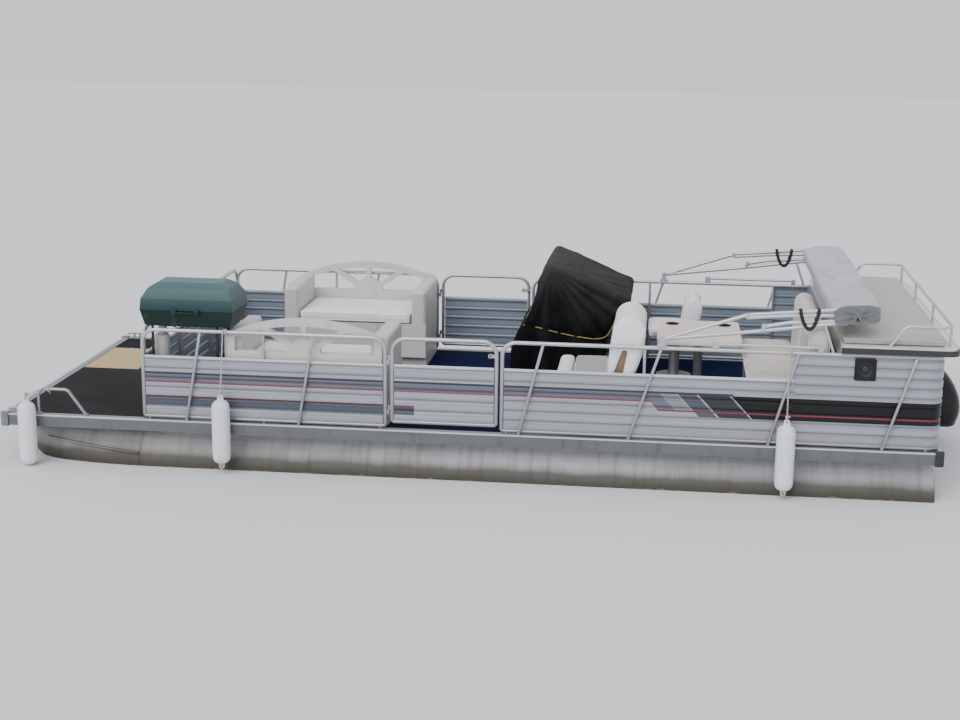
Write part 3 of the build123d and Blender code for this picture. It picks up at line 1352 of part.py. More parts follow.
# One file for each piece
os.makedirs("parts", exist_ok=True)
for node_name, shape in nodes.items():
    export_step(shape, f"parts/{node_name}.step")
print(len(nodes), "pieces")
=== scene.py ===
import math

import bmesh
import bpy
from mathutils import Matrix, Vector, noise


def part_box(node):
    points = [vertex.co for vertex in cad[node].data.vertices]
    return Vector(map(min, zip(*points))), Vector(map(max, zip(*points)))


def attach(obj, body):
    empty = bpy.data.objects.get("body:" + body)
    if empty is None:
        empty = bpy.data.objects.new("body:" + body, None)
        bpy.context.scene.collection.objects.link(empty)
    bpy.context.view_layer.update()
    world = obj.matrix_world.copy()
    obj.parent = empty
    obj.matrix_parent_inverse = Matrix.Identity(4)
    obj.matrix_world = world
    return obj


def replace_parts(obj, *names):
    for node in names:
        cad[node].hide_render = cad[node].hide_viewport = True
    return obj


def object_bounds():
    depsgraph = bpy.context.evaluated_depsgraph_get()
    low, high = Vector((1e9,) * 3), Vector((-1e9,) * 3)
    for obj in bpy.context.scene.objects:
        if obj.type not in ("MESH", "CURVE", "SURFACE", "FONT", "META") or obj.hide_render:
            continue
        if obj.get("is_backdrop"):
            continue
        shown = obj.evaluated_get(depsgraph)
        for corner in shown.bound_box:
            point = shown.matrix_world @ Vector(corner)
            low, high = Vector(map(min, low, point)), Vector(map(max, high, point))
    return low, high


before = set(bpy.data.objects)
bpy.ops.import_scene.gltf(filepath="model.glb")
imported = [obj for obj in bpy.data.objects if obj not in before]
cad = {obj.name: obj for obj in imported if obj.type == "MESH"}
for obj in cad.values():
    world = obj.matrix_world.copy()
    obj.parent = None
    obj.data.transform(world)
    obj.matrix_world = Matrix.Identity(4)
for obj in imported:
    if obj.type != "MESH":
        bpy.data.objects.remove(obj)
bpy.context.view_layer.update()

# Floats: two tubes of welded marine aluminium, 0.51 m across, each rolled in five lengths with a welded nose
# cone. The bare metal has gone chalky, with brown drips below the deck and scum at the water. Painted light and
# shade lie on it too: its top is painted lighter and its lower part darker.
DECK_EDGE = 0.330
HALF_LENGTH = 3.048
FLOAT_RADIUS = 0.254
FLOAT_AXIS = (0.9348, -0.031)
WELD_STATIONS = (0.914, 2.060, 3.210, 4.360, 5.510)
WELD_BEAD = 0.0032


def add_node(tree, kind, inputs=(), **settings):
    made = tree.nodes.new("ShaderNode" + kind)
    for key, value in settings.items():
        setattr(made, key, value)
    for key, value in dict(inputs).items():
        if isinstance(value, bpy.types.NodeSocket):
            tree.links.new(value, made.inputs[key])
        else:
            made.inputs[key].default_value = value
    return made


def new_finish(name, colour, roughness, metallic=0.0):
    # a finish: its node tree, its shader, and the place on the boat that its patterns are laid out by
    finish = bpy.data.materials.new(name)
    finish.use_nodes = True
    tree = finish.node_tree
    shader = tree.nodes["Principled BSDF"]
    shader.inputs["Base Color"].default_value = (*colour, 1.0)
    shader.inputs["Roughness"].default_value = roughness
    shader.inputs["Metallic"].default_value = metallic
    return tree, shader, add_node(tree, "TexCoord").outputs["Object"]


def along(tree, place, axis):
    return add_node(tree, "SeparateXYZ", {0: place}).outputs[axis]


def mottle(tree, place, scale, stretch=(1.0, 1.0, 1.0), detail=4.0, distortion=0.0):
    drawn = add_node(tree, "Mapping", {"Vector": place, "Scale": stretch})
    return add_node(tree, "TexNoise", {"Vector": drawn.outputs[0], "Scale": scale, "Detail": detail,
                                       "Distortion": distortion}).outputs["Fac"]


def between(tree, value, low, high, start=0.0, end=1.0):
    return add_node(tree, "MapRange", {0: value, 1: low, 2: high, 3: start, 4: end}).outputs[0]


def reckon(tree, operation, first, second=0.0):
    return add_node(tree, "Math", {0: first, 1: second}, operation=operation).outputs[0]


def mix_paint(tree, share, first, second):
    ends = [(*colour, 1.0) if isinstance(colour, tuple) else colour for colour in (first, second)]
    return add_node(tree, "Mix", {0: share, 6: ends[0], 7: ends[1]}, data_type="RGBA").outputs[2]


def clouded(tree, place, dark, light, scale, stretch=(1.0, 1.0, 1.0), detail=4.0):
    # a colour that drifts between two tones over the surface
    return mix_paint(tree, mottle(tree, place, scale, stretch, detail), dark, light)


def drift(tree, place, start, end, scale, stretch=(1.0, 1.0, 1.0), detail=4.0):
    # a number that drifts between two ends over the surface
    return between(tree, mottle(tree, place, scale, stretch, detail), 0.3, 0.7, start, end)


def spots(tree, place, low, high, most, scale, stretch=(1.0, 1.0, 1.0), detail=4.0):
    # patches of wear, nothing where the mottle is under low and most where it is over high
    return between(tree, mottle(tree, place, scale, stretch, detail), low, high, 0.0, most)


def roughen(tree, shader, height, depth, strength=1.0):
    bump = add_node(tree, "Bump", {"Height": height, "Distance": depth, "Strength": strength})
    tree.links.new(bump.outputs[0], shader.inputs["Normal"])


def paint(tree, shader, colour):
    tree.links.new(colour, shader.inputs["Base Color"])


def gloss(tree, shader, roughness):
    tree.links.new(roughness, shader.inputs["Roughness"])


def dress(finish_name, *names):
    finish = bpy.data.materials[finish_name]
    for name in names:
        for place in cad[name].material_slots:
            place.material = finish
        if not cad[name].material_slots:
            cad[name].data.materials.append(finish)


def set_out(name, data):
    made = bpy.data.objects.new(name, data)
    bpy.context.scene.collection.objects.link(made)
    return made


def make_piece(name, bm, finish_name, body="hull", sharp=35.0):
    mesh = bpy.data.meshes.new(name)
    bm.to_mesh(mesh)
    bm.free()
    mesh.materials.append(bpy.data.materials[finish_name])
    mesh.polygons.foreach_set("use_smooth", [True] * len(mesh.polygons))
    mesh.set_sharp_from_angle(angle=math.radians(sharp))
    piece = set_out(name, mesh)
    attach(piece, body)
    return piece


tree, shader, place = new_finish("float_metal", (0.52, 0.52, 0.53), 0.5, 0.2)
x = along(tree, place, "X")
z = along(tree, place, "Z")
chalk = between(tree, mottle(tree, place, 2.2, (1.0, 1.0, 2.0), 5.0), 0.35, 0.65)
metal = mix_paint(tree, chalk, (0.46, 0.465, 0.49), (0.62, 0.625, 0.66))
lengths = add_node(tree, "ValToRGB", {0: between(tree, x, -HALF_LENGTH, HALF_LENGTH)})
lengths.color_ramp.interpolation = "CONSTANT"
lengths.color_ramp.elements[0].color = (0.72, 0.70, 0.66, 1)
lengths.color_ramp.elements[1].position = WELD_STATIONS[0] / (2 * HALF_LENGTH)
lengths.color_ramp.elements[1].color = (0.82, 0.80, 0.76, 1)
for station, tone in zip(WELD_STATIONS[1:], (0.94, 1.0, 0.90, 0.84)):
    stop = lengths.color_ramp.elements.new(station / (2 * HALF_LENGTH))
    stop.color = (tone, tone, tone, 1)
metal = add_node(tree, "Mix", {0: 1.0, 6: metal, 7: lengths.outputs[0]}, data_type="RGBA",
                 blend_type="MULTIPLY").outputs[2]
# the top of the tube is painted lighter: painted light that stands in for the sky's light under the deck's shadow
metal = mix_paint(tree, between(tree, z, 0.145, 0.205, 0.0, 0.75), metal, (0.86, 0.87, 0.92))
drips = between(tree, mottle(tree, place, 5.0, (3.6, 0.16, 0.20), 6.0), 0.50, 0.64)
drips = reckon(tree, "MULTIPLY", drips, between(tree, z, 0.235, 0.06, 0.12, 0.55))
metal = mix_paint(tree, drips, metal, (0.22, 0.20, 0.165))
# river silt has dulled the tube more and more down to the scum line, and painted shade darkens it there too, where
# the lower tube turns away from the sky
wander = drift(tree, place, -0.011, 0.011, 3.0, (1.6, 1.0, 0.5), 7.0)
low_darkening = between(tree, reckon(tree, "ADD", z, wander), 0.158, 0.070, 0.0, 0.94)
mud_and_shade = mix_paint(tree, between(tree, z, 0.10, 0.01), (0.082, 0.075, 0.058), (0.030, 0.026, 0.018))
metal = mix_paint(tree, low_darkening, metal, mud_and_shade)
tree.links.new(between(tree, low_darkening, 0.0, 0.9, 0.2, 0.0), shader.inputs["Metallic"])
shader.inputs["Specular IOR Level"].default_value = 0.25
edge = reckon(tree, "ADD", z, drift(tree, place, -0.014, 0.014, 7.0, (2.0, 1.0, 0.5), 6.0))
metal = mix_paint(tree, between(tree, edge, 0.040, 0.006, 0.0, 0.8), metal, (0.060, 0.050, 0.034))
below = clouded(tree, place, (0.10, 0.095, 0.06), (0.22, 0.19, 0.13), 14.0)
metal = mix_paint(tree, between(tree, edge, 0.004, -0.012), metal, below)
paint(tree, shader, metal)
gloss(tree, shader, drift(tree, place, 0.42, 0.62, 9.0))
roughen(tree, shader, mottle(tree, place, 5.0, (0.8, 1.0, 1.0), 3.0), 0.010, 0.35)
dress("float_metal", "float_port", "float_starboard")

bm = bmesh.new()
for side in (-1, 1):
    for station in WELD_STATIONS:
        ring = []
        for turn in range(120):
            angle = math.tau * turn / 120
            bead = WELD_BEAD * (1.0 + 0.25 * math.sin(turn * 2.6))
            row = []
            for step in range(5):
                across = math.pi * step / 4
                reach = FLOAT_RADIUS - 0.0008 + bead * math.sin(across)
                row.append(bm.verts.new((station - HALF_LENGTH + 1.6 * bead * math.cos(across),
                                         side * FLOAT_AXIS[0] + reach * math.cos(angle),
                                         FLOAT_AXIS[1] + reach * math.sin(angle))))
            ring.append(row)
        for row, following in zip(ring, ring[1:] + ring[:1]):
            for step in range(4):
                bm.faces.new((row[step], following[step], following[step + 1], row[step + 1]))
bmesh.ops.recalc_face_normals(bm, faces=bm.faces)
make_piece("float_welds", bm, "float_metal")

# Deck edge: a 77 mm channel of extruded aluminium screwed round the deck, dull grey on its web, with a painted
# highlight along its upper lip. Moulded rubber bumpers cap the corners, black at the stern and sun-bleached grey
# at the bow.
TRIM_FACE = 1.219
tree, shader, place = new_finish("channel_metal", (0.13, 0.135, 0.145), 0.45, 0.3)
x = along(tree, place, "X")
y = along(tree, place, "Y")
z = along(tree, place, "Z")
dull = clouded(tree, place, (0.105, 0.112, 0.126), (0.150, 0.158, 0.174), 3.0, (1.0, 1.0, 8.0), 6.0)
streak = spots(tree, place, 0.56, 0.72, 0.5, 6.0, (4.0, 4.0, 0.3), 4.0)
dull = mix_paint(tree, streak, dull, (0.085, 0.082, 0.08))
# a painted highlight runs along the lip's outer edge only, and the lip's flat is as dull as the deck
rim = reckon(tree, "MAXIMUM", between(tree, reckon(tree, "ABSOLUTE", y), TRIM_FACE - 0.014, TRIM_FACE - 0.010),
             between(tree, reckon(tree, "ABSOLUTE", x), HALF_LENGTH - 0.014, HALF_LENGTH - 0.010))
lip = mix_paint(tree, rim, (0.235, 0.238, 0.245), (0.62, 0.63, 0.66))
paint(tree, shader, mix_paint(tree, between(tree, z, DECK_EDGE - 0.009, DECK_EDGE - 0.006), dull, lip))
roughen(tree, shader, mottle(tree, place, 90.0, (0.05, 0.05, 1.0), 2.0), 0.0008, 0.4)
dress("channel_metal", "deck_trim")

tree, shader, place = new_finish("bumper_rubber", (0.018, 0.018, 0.02), 0.62)
x = along(tree, place, "X")
rubber = clouded(tree, place, (0.012, 0.012, 0.014), (0.035, 0.035, 0.036), 20.0)
chalked = clouded(tree, place, (0.12, 0.124, 0.132), (0.20, 0.205, 0.215), 16.0)
paint(tree, shader, mix_paint(tree, between(tree, x, -0.1, 0.1), chalked, rubber))
roughen(tree, shader, mottle(tree, place, 400.0), 0.0006, 0.5)
dress("bumper_rubber", "corner_bumpers")

SCREW_RADIUS = 0.0055
SCREW_RISE = 0.0022
SCREW_DROPS = (0.022, 0.060)


def pan_head(bm, place, outward, radius, rise):
    # a low dome of two rings and a crown
    spin = Vector(outward).to_track_quat("Z", "Y")
    centre = Vector(place)
    rings = []
    for share, lift in ((1.0, 0.0), (0.78, 0.7)):
        ring = []
        for turn in range(8):
            angle = math.tau * turn / 8
            ring.append(bm.verts.new(centre + spin @ Vector((radius * share * math.cos(angle),
                                                             radius * share * math.sin(angle), rise * lift))))
        rings.append(ring)
    crown = bm.verts.new(centre + spin @ Vector((0, 0, rise)))
    for turn in range(8):
        after = (turn + 1) % 8
        bm.faces.new((rings[0][turn], rings[0][after], rings[1][after], rings[1][turn]))
        bm.faces.new((rings[1][turn], rings[1][after], crown))
    bm.faces.new(rings[0][::-1])


bm = bmesh.new()
for drop in SCREW_DROPS:
    for side in (-1, 1):
        for count in range(16):
            station = 0.16 + count * 0.385
            pan_head(bm, (station - HALF_LENGTH, side * (TRIM_FACE - 0.0005), DECK_EDGE - drop), (0, side, 0),
                     SCREW_RADIUS, SCREW_RISE)
    for count in range(6):
        across = -1.0 + count * 0.4
        pan_head(bm, (-HALF_LENGTH + 0.0005, across, DECK_EDGE - drop), (-1, 0, 0), SCREW_RADIUS, SCREW_RISE)
make_piece("trim_screws", bm, "channel_metal")

# Under the deck: eleven cross members and the motor pod, folded from aluminium sheet, left in the mill finish and
# bolted between the floats. The table and the helm seat stand on posts of the same metal.
tree, shader, place = new_finish("folded_metal", (0.34, 0.345, 0.35), 0.48, 0.7)
paint(tree, shader, clouded(tree, place, (0.24, 0.24, 0.24), (0.42, 0.42, 0.43), 4.0, (1.0, 0.4, 1.0), 6.0))
roughen(tree, shader, mottle(tree, place, 60.0, (1.0, 0.08, 1.0), 2.0), 0.0006, 0.4)
dress("folded_metal", "cross_members", "motor_pod", "pedestals")

# Deck: plywood, 19 mm thick, under short dark blue marine carpet. On the bow the carpet is charcoal, and a patch
# to starboard is worn down to its tan backing. A black rubber mat lies to port.
PATCH_LOW = (-2.998, 0.131)
PATCH_HIGH = (-2.578, 0.821)
BOW_DECK_END = -2.092
tree, shader, place = new_finish("deck_carpet", (0.01, 0.015, 0.05), 0.95)
x = along(tree, place, "X")
y = along(tree, place, "Y")
z = along(tree, place, "Z")
pile = mottle(tree, place, 420.0, detail=3.0)
blue = mix_paint(tree, between(tree, pile, 0.35, 0.7), (0.002, 0.004, 0.022), (0.009, 0.015, 0.070))
charcoal = mix_paint(tree, between(tree, pile, 0.35, 0.7), (0.010, 0.010, 0.011), (0.032, 0.032, 0.035))
carpet = mix_paint(tree, between(tree, x, BOW_DECK_END - 0.001, BOW_DECK_END + 0.001), charcoal, blue)
fray = drift(tree, place, -0.012, 0.012, 26.0)
inside = reckon(tree, "MINIMUM", reckon(tree, "SUBTRACT", x, PATCH_LOW[0]),
                reckon(tree, "SUBTRACT", PATCH_HIGH[0], x))
inside = reckon(tree, "MINIMUM", inside, reckon(tree, "SUBTRACT", PATCH_HIGH[1], y))
patch = between(tree, reckon(tree, "ADD", inside, fray), -0.003, 0.003)
backing = clouded(tree, place, (0.42, 0.32, 0.17), (0.58, 0.46, 0.27), 30.0)
carpet = mix_paint(tree, patch, carpet, backing)
edge_ply = between(tree, z, DECK_EDGE - 0.0062, DECK_EDGE - 0.0058)
ply = clouded(tree, place, (0.22, 0.15, 0.09), (0.34, 0.25, 0.16), 30.0, (0.2, 0.2, 8.0))
paint(tree, shader, mix_paint(tree, edge_ply, ply, carpet))
shader.inputs["Specular IOR Level"].default_value = 0.1
roughen(tree, shader, pile, 0.0025, 0.8)
dress("deck_carpet", "deck_board")

tree, shader, place = new_finish("mat_rubber", (0.022, 0.021, 0.022), 0.78)
wear = between(tree, mottle(tree, place, 3.0, detail=6.0), 0.4, 0.7)
paint(tree, shader, mix_paint(tree, wear, (0.006, 0.0055, 0.006), (0.015, 0.0140, 0.0135)))
shader.inputs["Specular IOR Level"].default_value = 0.2
ribs = add_node(tree, "TexWave", {"Vector": place, "Scale": 34.0, "Distortion": 0.0},
                bands_direction="X").outputs["Fac"]
roughen(tree, shader, ribs, 0.0015, 0.9)
dress("mat_rubber", "bow_mat")

# Rails, posts, braces, hoops, cleats and rail mounts: drawn aluminium tube and castings, brightly anodised and
# only a little dulled, welded up in the works and screwed through their pads to the deck.
tree, shader, place = new_finish("bright_tube", (0.60, 0.61, 0.63), 0.32, 0.6)
z = along(tree, place, "Z")
tube = clouded(tree, place, (0.44, 0.445, 0.46), (0.62, 0.63, 0.65), 8.0, detail=5.0)
# the tube is painted darker towards the deck: painted shade where its lower lengths stand in shade
low_tube_shade = between(tree, z, DECK_EDGE, DECK_EDGE + 0.72, 0.72, 0.0)
paint(tree, shader, mix_paint(tree, low_tube_shade, tube, (0.20, 0.205, 0.215)))
gloss(tree, shader, drift(tree, place, 0.26, 0.40, 30.0))
dress("bright_tube", "fence_frame_sides", "fence_frame_ends", "gate_port", "gate_starboard", "gate_bow",
      "bow_hoops", "cleats", "sundeck_rails", "canopy_bows", "canopy_mounts")

# Fence panels: ribbed aluminium sheet with a baked silver-grey coat, riveted inside the tube frames. Tape stripes
# run along both sides: two dark bands with red pinstripes forward, and a stepped black band from midships aft.
FENCE_LINE = 1.1743
RIB_PITCH = 0.065
TAPE_EDGE = 0.0003
# heights over the deck edge: foot and top of each stripe
LOWER_BAND = (0.097, 0.150)
LOWER_RED = (0.150, 0.160)
SHORT_BAND = (0.164, 0.198)
TOP_LINE = (0.306, 0.320)
TOP_CAP = (0.4130, 0.4300)
BAND_TOP = 0.308
# stations where stripes end, and the red line's fall from one height to another
LOWER_END = 2.765
TOP_LINE_END = 4.80
RED_FALL = (4.283, 4.326)
RED_HEIGHTS = (0.2535, 0.1975)
RED_HALVES = (0.0045, 0.0052)
# the stepped band leans aft by this share of its height; its steps lie between two stations
BAND_SLANT = 0.958
STEPS_START = 4.20
STEPS_LENGTH = 0.70
SHORT_BAND_START = 4.4463
# the tall sheets of the stern begin here
TALL_START = 5.160
COAT = (0.335, 0.343, 0.385)
# station of each step's front edge at the band's top, and its colour
STEPS = ((4.20, (0.135, 0.14, 0.175)), (4.326, (0.23, 0.235, 0.265)), (4.433, COAT),
         (4.446, (0.075, 0.085, 0.105)), (4.559, COAT), (4.572, (0.030, 0.034, 0.042)), (4.768, COAT),
         (4.779, (0.006, 0.006, 0.007)))
tree, shader, place = new_finish("panel_coat", COAT, 0.40, 0.35)
height = along(tree, place, "Z")
station = reckon(tree, "ADD", along(tree, place, "X"), HALF_LENGTH)
rise = reckon(tree, "SUBTRACT", height, DECK_EDGE)
coat = clouded(tree, place, (0.295, 0.303, 0.342), (0.375, 0.385, 0.425), 3.0, (1.0, 1.0, 5.0), 5.0)


def stripe(tree, level, ends, soft=TAPE_EDGE):
    # 1 between two heights or stations, with soft edges
    low, high = ends
    over = between(tree, level, low - soft, low + soft)
    under = between(tree, level, high + soft, high - soft)
    return reckon(tree, "MULTIPLY", over, under)


def both(tree, first, second):
    return reckon(tree, "MULTIPLY", first, second)


lean = reckon(tree, "MULTIPLY", reckon(tree, "SUBTRACT", BAND_TOP, rise), BAND_SLANT)
slanted = reckon(tree, "SUBTRACT", station, lean)
steps = add_node(tree, "ValToRGB", {0: between(tree, slanted, STEPS_START, STEPS_START + STEPS_LENGTH)})
steps.color_ramp.interpolation = "CONSTANT"
steps.color_ramp.elements[0].color = (*STEPS[0][1], 1)
steps.color_ramp.elements[1].position = (STEPS[1][0] - STEPS_START) / STEPS_LENGTH
steps.color_ramp.elements[1].color = (*STEPS[1][1], 1)
for front, colour in STEPS[2:]:
    stop = steps.color_ramp.elements.new((front - STEPS_START) / STEPS_LENGTH)
    stop.color = (*colour, 1)
red_level = between(tree, station, *RED_FALL, *RED_HEIGHTS)
red_half = between(tree, station, *RED_FALL, *RED_HALVES)
over_red = reckon(tree, "SUBTRACT", rise, red_level)
under_top = between(tree, rise, BAND_TOP + TAPE_EDGE, BAND_TOP - TAPE_EDGE)
upper_band = both(tree, between(tree, over_red, -TAPE_EDGE, TAPE_EDGE), under_top)
coat = mix_paint(tree, upper_band, coat, steps.outputs[0])
short_start = between(tree, slanted, SHORT_BAND_START, SHORT_BAND_START + TAPE_EDGE)
coat = mix_paint(tree, both(tree, stripe(tree, rise, SHORT_BAND), short_start), coat, steps.outputs[0])
red = reckon(tree, "LESS_THAN", reckon(tree, "ABSOLUTE", over_red), red_half)
coat = mix_paint(tree, red, coat, (0.22, 0.035, 0.060))
top_end = between(tree, station, TOP_LINE_END, TOP_LINE_END - 0.01)
coat = mix_paint(tree, both(tree, stripe(tree, rise, TOP_LINE), top_end), coat, (0.035, 0.04, 0.055))
lower_end = between(tree, station, LOWER_END + TAPE_EDGE, LOWER_END - TAPE_EDGE)
coat = mix_paint(tree, both(tree, stripe(tree, rise, LOWER_BAND), lower_end), coat, (0.070, 0.080, 0.105))
coat = mix_paint(tree, both(tree, stripe(tree, rise, LOWER_RED), lower_end), coat, (0.20, 0.040, 0.065))
# the cockpit side of the sheet is blue-grey and bare of tape
outline = add_node(tree, "VectorMath", {0: place, 1: (1.0, 1.0, 0.0)}, operation="MULTIPLY").outputs[0]
normal = add_node(tree, "TexCoord").outputs["Normal"]
facing = add_node(tree, "VectorMath", {0: normal, 1: outline}, operation="DOT_PRODUCT").outputs["Value"]
lining = clouded(tree, place, (0.215, 0.255, 0.315), (0.290, 0.335, 0.400), 4.0)
coat = mix_paint(tree, between(tree, facing, -0.02, 0.02), lining, coat)
# the folded cap along a low panel's top is bare metal
low_sheet = between(tree, station, TALL_START + 0.004, TALL_START)
cap = both(tree, stripe(tree, rise, TOP_CAP, 0.0002), low_sheet)
coat = mix_paint(tree, cap, coat, (0.70, 0.71, 0.74))
# each rib is painted lighter across its middle and darker at its folds: painted light and shade for the ribs'
# dished shape
# the gates' ribs and the tall stern sheets' ribs have their own pitch
panel_low, panel_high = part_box("fence_panels_sides")
gate_low, gate_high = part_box("gate_port_panel")
rhythms = []
for foot, top in ((panel_low.z, gate_high.z - 0.015), (gate_low.z, gate_high.z - 0.015),
                  (panel_low.z, panel_high.z)):
    rhythms.append((foot, (top - foot) / round((top - foot) / RIB_PITCH)))
(low_foot, low_pitch), (gate_foot, gate_pitch), (_, tall_pitch) = rhythms
on_gate = stripe(tree, station, (gate_low.x + HALF_LENGTH, gate_high.x + HALF_LENGTH))
on_tall = between(tree, station, TALL_START, TALL_START + 0.004)
foot = reckon(tree, "ADD", both(tree, on_gate, gate_foot - low_foot), low_foot)
pitch = reckon(tree, "ADD", both(tree, on_gate, gate_pitch - low_pitch), low_pitch)
pitch = reckon(tree, "ADD", both(tree, on_tall, tall_pitch - low_pitch), pitch)
share_up = reckon(tree, "DIVIDE", reckon(tree, "SUBTRACT", height, foot), pitch)
rib_shading = reckon(tree, "COSINE", reckon(tree, "SUBTRACT", both(tree, share_up, math.tau), 0.42 * math.tau))
shade = between(tree, rib_shading, -1.0, 1.0, 0.76, 1.10)
coat = add_node(tree, "Mix", {0: 1.0, 6: coat, 7: shade}, data_type="RGBA", blend_type="MULTIPLY").outputs[2]
splash = reckon(tree, "ADD", rise, drift(tree, place, -0.02, 0.02, 9.0))
coat = mix_paint(tree, between(tree, splash, 0.085, 0.03, 0.0, 0.35), coat, (0.22, 0.205, 0.18))
paint(tree, shader, coat)
roughen(tree, shader, mottle(tree, place, 2.5, (1.0, 1.0, 3.0), 2.0), 0.004, 0.25)
dress("panel_coat", "fence_panels_sides", "fence_panels_ends", "gate_port_panel", "gate_starboard_panel",
      "gate_bow_panel")

PANEL_CREST = FENCE_LINE + 0.0097
RIVET_RADIUS = 0.0034
RIVET_RISE = 0.0018
RIVET_FOOT = 0.062
RIVET_PITCH = 0.0625
# front and aft end of each side sheet, as stations, and the rivets up each of its three rows
SIDE_SHEETS = ((0.9915, 2.5535, 6), (3.3525, 5.155, 6), (5.176, 6.0, 9))
bm = bmesh.new()
for side in (-1, 1):
    for front, aft, rivets in SIDE_SHEETS:
        for count in range(rivets):
            level = DECK_EDGE + RIVET_FOOT + count * RIVET_PITCH
            for row in (front, (front + aft) / 2, aft):
                pan_head(bm, (row - HALF_LENGTH, side * PANEL_CREST, level), (0, side, 0), RIVET_RADIUS,
                         RIVET_RISE)
make_piece("panel_rivets", bm, "panel_coat")

# Gate latches: each gate has a slide bolt of bright metal, with a round knob, that runs in two saddles on a small
# plate. The plate is screwed to the gate's free stile.
LATCH_HEIGHT = 0.500
LATCH_STAND = 0.0135
LATCH_X = 0.240
BOW_LATCH_X = -2.0783
BOW_LATCH_Y = -0.340


def latch(name, place, lengthwise, outward, body):
    # a slide bolt on two saddles with a knob
    bm = bmesh.new()
    lengthwise, outward = Vector(lengthwise), Vector(outward)
    up = Vector((0, 0, 1))
    turn = Matrix((lengthwise, outward, up)).transposed().to_4x4()
    for reach in (-0.034, 0.0):
        saddle = bmesh.ops.create_cube(bm, size=1.0)["verts"]
        bmesh.ops.scale(bm, vec=(0.010, 0.014, 0.030), verts=saddle)
        bmesh.ops.translate(bm, vec=(reach, 0.006, 0), verts=saddle)
    plate = bmesh.ops.create_cube(bm, size=1.0)["verts"]
    bmesh.ops.scale(bm, vec=(0.062, 0.003, 0.024), verts=plate)
    bmesh.ops.translate(bm, vec=(-0.018, 0.0005, 0), verts=plate)
    bmesh.ops.bevel(bm, geom=list(bm.edges), offset=0.0012, segments=2, affect="EDGES")
    bolt = bmesh.ops.create_cone(bm, segments=16, radius1=0.0042, radius2=0.0042, depth=0.066,
                                 cap_ends=True)["verts"]
    bmesh.ops.rotate(bm, matrix=Matrix.Rotation(math.pi / 2, 3, "Y"), verts=bolt)
    bmesh.ops.translate(bm, vec=(-0.016, 0.009, 0), verts=bolt)
    knob = bmesh.ops.create_uvsphere(bm, u_segments=14, v_segments=10, radius=0.007)["verts"]
    bmesh.ops.scale(bm, vec=(1, 0.8, 1), verts=knob)
    bmesh.ops.translate(bm, vec=(-0.018, 0.018, 0), verts=knob)
    bmesh.ops.transform(bm, matrix=Matrix.Translation(Vector(place)) @ turn, verts=bm.verts)
    return make_piece(name, bm, "bright_tube", body)


latch_level = DECK_EDGE + LATCH_HEIGHT
latch("latch_port", (LATCH_X, -FENCE_LINE + LATCH_STAND, latch_level), (1, 0, 0), (0, 1, 0), "port_gate")
latch("latch_starboard", (LATCH_X, FENCE_LINE - LATCH_STAND, latch_level), (1, 0, 0), (0, -1, 0), "starboard_gate")
latch("latch_bow", (BOW_LATCH_X + LATCH_STAND, BOW_LATCH_Y, latch_level), (0, -1, 0), (1, 0, 0), "bow_gate")

# Speaker: a square black moulding let into the fence on the port quarter and held by four screws. Its cone is
# ribbed paper on a rubber roll, with a dust cap in the middle.
speaker_low, speaker_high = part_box("speaker")
speaker_centre = (speaker_low + speaker_high) / 2
tree, shader, place = new_finish("speaker_moulding", (0.012, 0.012, 0.013), 0.45)
paint(tree, shader, clouded(tree, place, (0.008, 0.008, 0.009), (0.028, 0.028, 0.03), 30.0))
roughen(tree, shader, mottle(tree, place, 700.0), 0.0004, 0.5)
shader.inputs["Specular IOR Level"].default_value = 0.15
dress("speaker_moulding", "speaker")


def skin(bm, rings, closed=True, caps="none"):
    # the sheet between each ring of points and the next, with its ends closed where asked
    for ring, after in zip(rings, rings[1:]):
        for i in range(len(ring) if closed else len(ring) - 1):
            j = (i + 1) % len(ring)
            bm.faces.new((ring[i], ring[j], after[j], after[i]))
    if caps == "both":
        bm.faces.new(rings[0][::-1])
    if caps in ("both", "last"):
        bm.faces.new(rings[-1])


def no_grip(radius, out, turn):
    return 1.0


def turned(bm, centre, profile, count, axis, caps, grip=no_grip):
    # a turned part: the profile gives radius and place along the axis, and grip can notch its rim
    first, second = [i for i in range(3) if i != axis]
    rings = []
    for radius, out in profile:
        ring = []
        for turn in range(count):
            angle = math.tau * turn / count
            reach = radius * grip(radius, out, turn)
            spot = list(centre)
            spot[first] += reach * math.cos(angle)
            spot[second] += reach * math.sin(angle)
            spot[axis] += out
            ring.append(bm.verts.new(spot))
        rings.append(ring)
    skin(bm, rings, caps=caps)


# radius and set-back from the moulding's face, from the rim to the dust cap's crown
CONE_PROFILE = ((0.0560, -0.0006), (0.0550, -0.0022), (0.0525, -0.0022), (0.0505, 0.0000), (0.0480, 0.0012),
                (0.0455, -0.0004), (0.0420, 0.0008), (0.0330, 0.0036), (0.0215, 0.0066), (0.0200, 0.0058),
                (0.0150, 0.0022), (0.0080, 0.0004), (0.0005, 0.0))
bm = bmesh.new()
turned(bm, (speaker_centre.x, speaker_low.y, speaker_centre.z), CONE_PROFILE, 48, 1, "last")
bmesh.ops.recalc_face_normals(bm, faces=bm.faces)
for dx in (-0.055, 0.055):
    for dz in (-0.058, 0.058):
        screw = (speaker_centre.x + dx, speaker_low.y, speaker_centre.z + dz)
        pan_head(bm, screw, (0, -1, 0), 0.0045, 0.002)
tree, shader, place = new_finish("speaker_cone", (0.03, 0.03, 0.032), 0.55)
to_centre = {"Vector": place, "Location": (-speaker_centre.x, 0.0, -speaker_centre.z)}
centred = add_node(tree, "Mapping", to_centre).outputs[0]
middle = add_node(tree, "VectorMath", {0: centred, 1: (1.0, 0.0, 1.0)}, operation="MULTIPLY").outputs[0]
reach = add_node(tree, "VectorMath", {0: middle}, operation="LENGTH").outputs["Value"]
paint(tree, shader,
      mix_paint(tree, between(tree, reach, 0.0205, 0.0195), (0.006, 0.006, 0.0065), (0.022, 0.022, 0.024)))
roughen(tree, shader, mottle(tree, place, 500.0), 0.0004, 0.4)
make_piece("speaker_cone", bm, "speaker_cone")

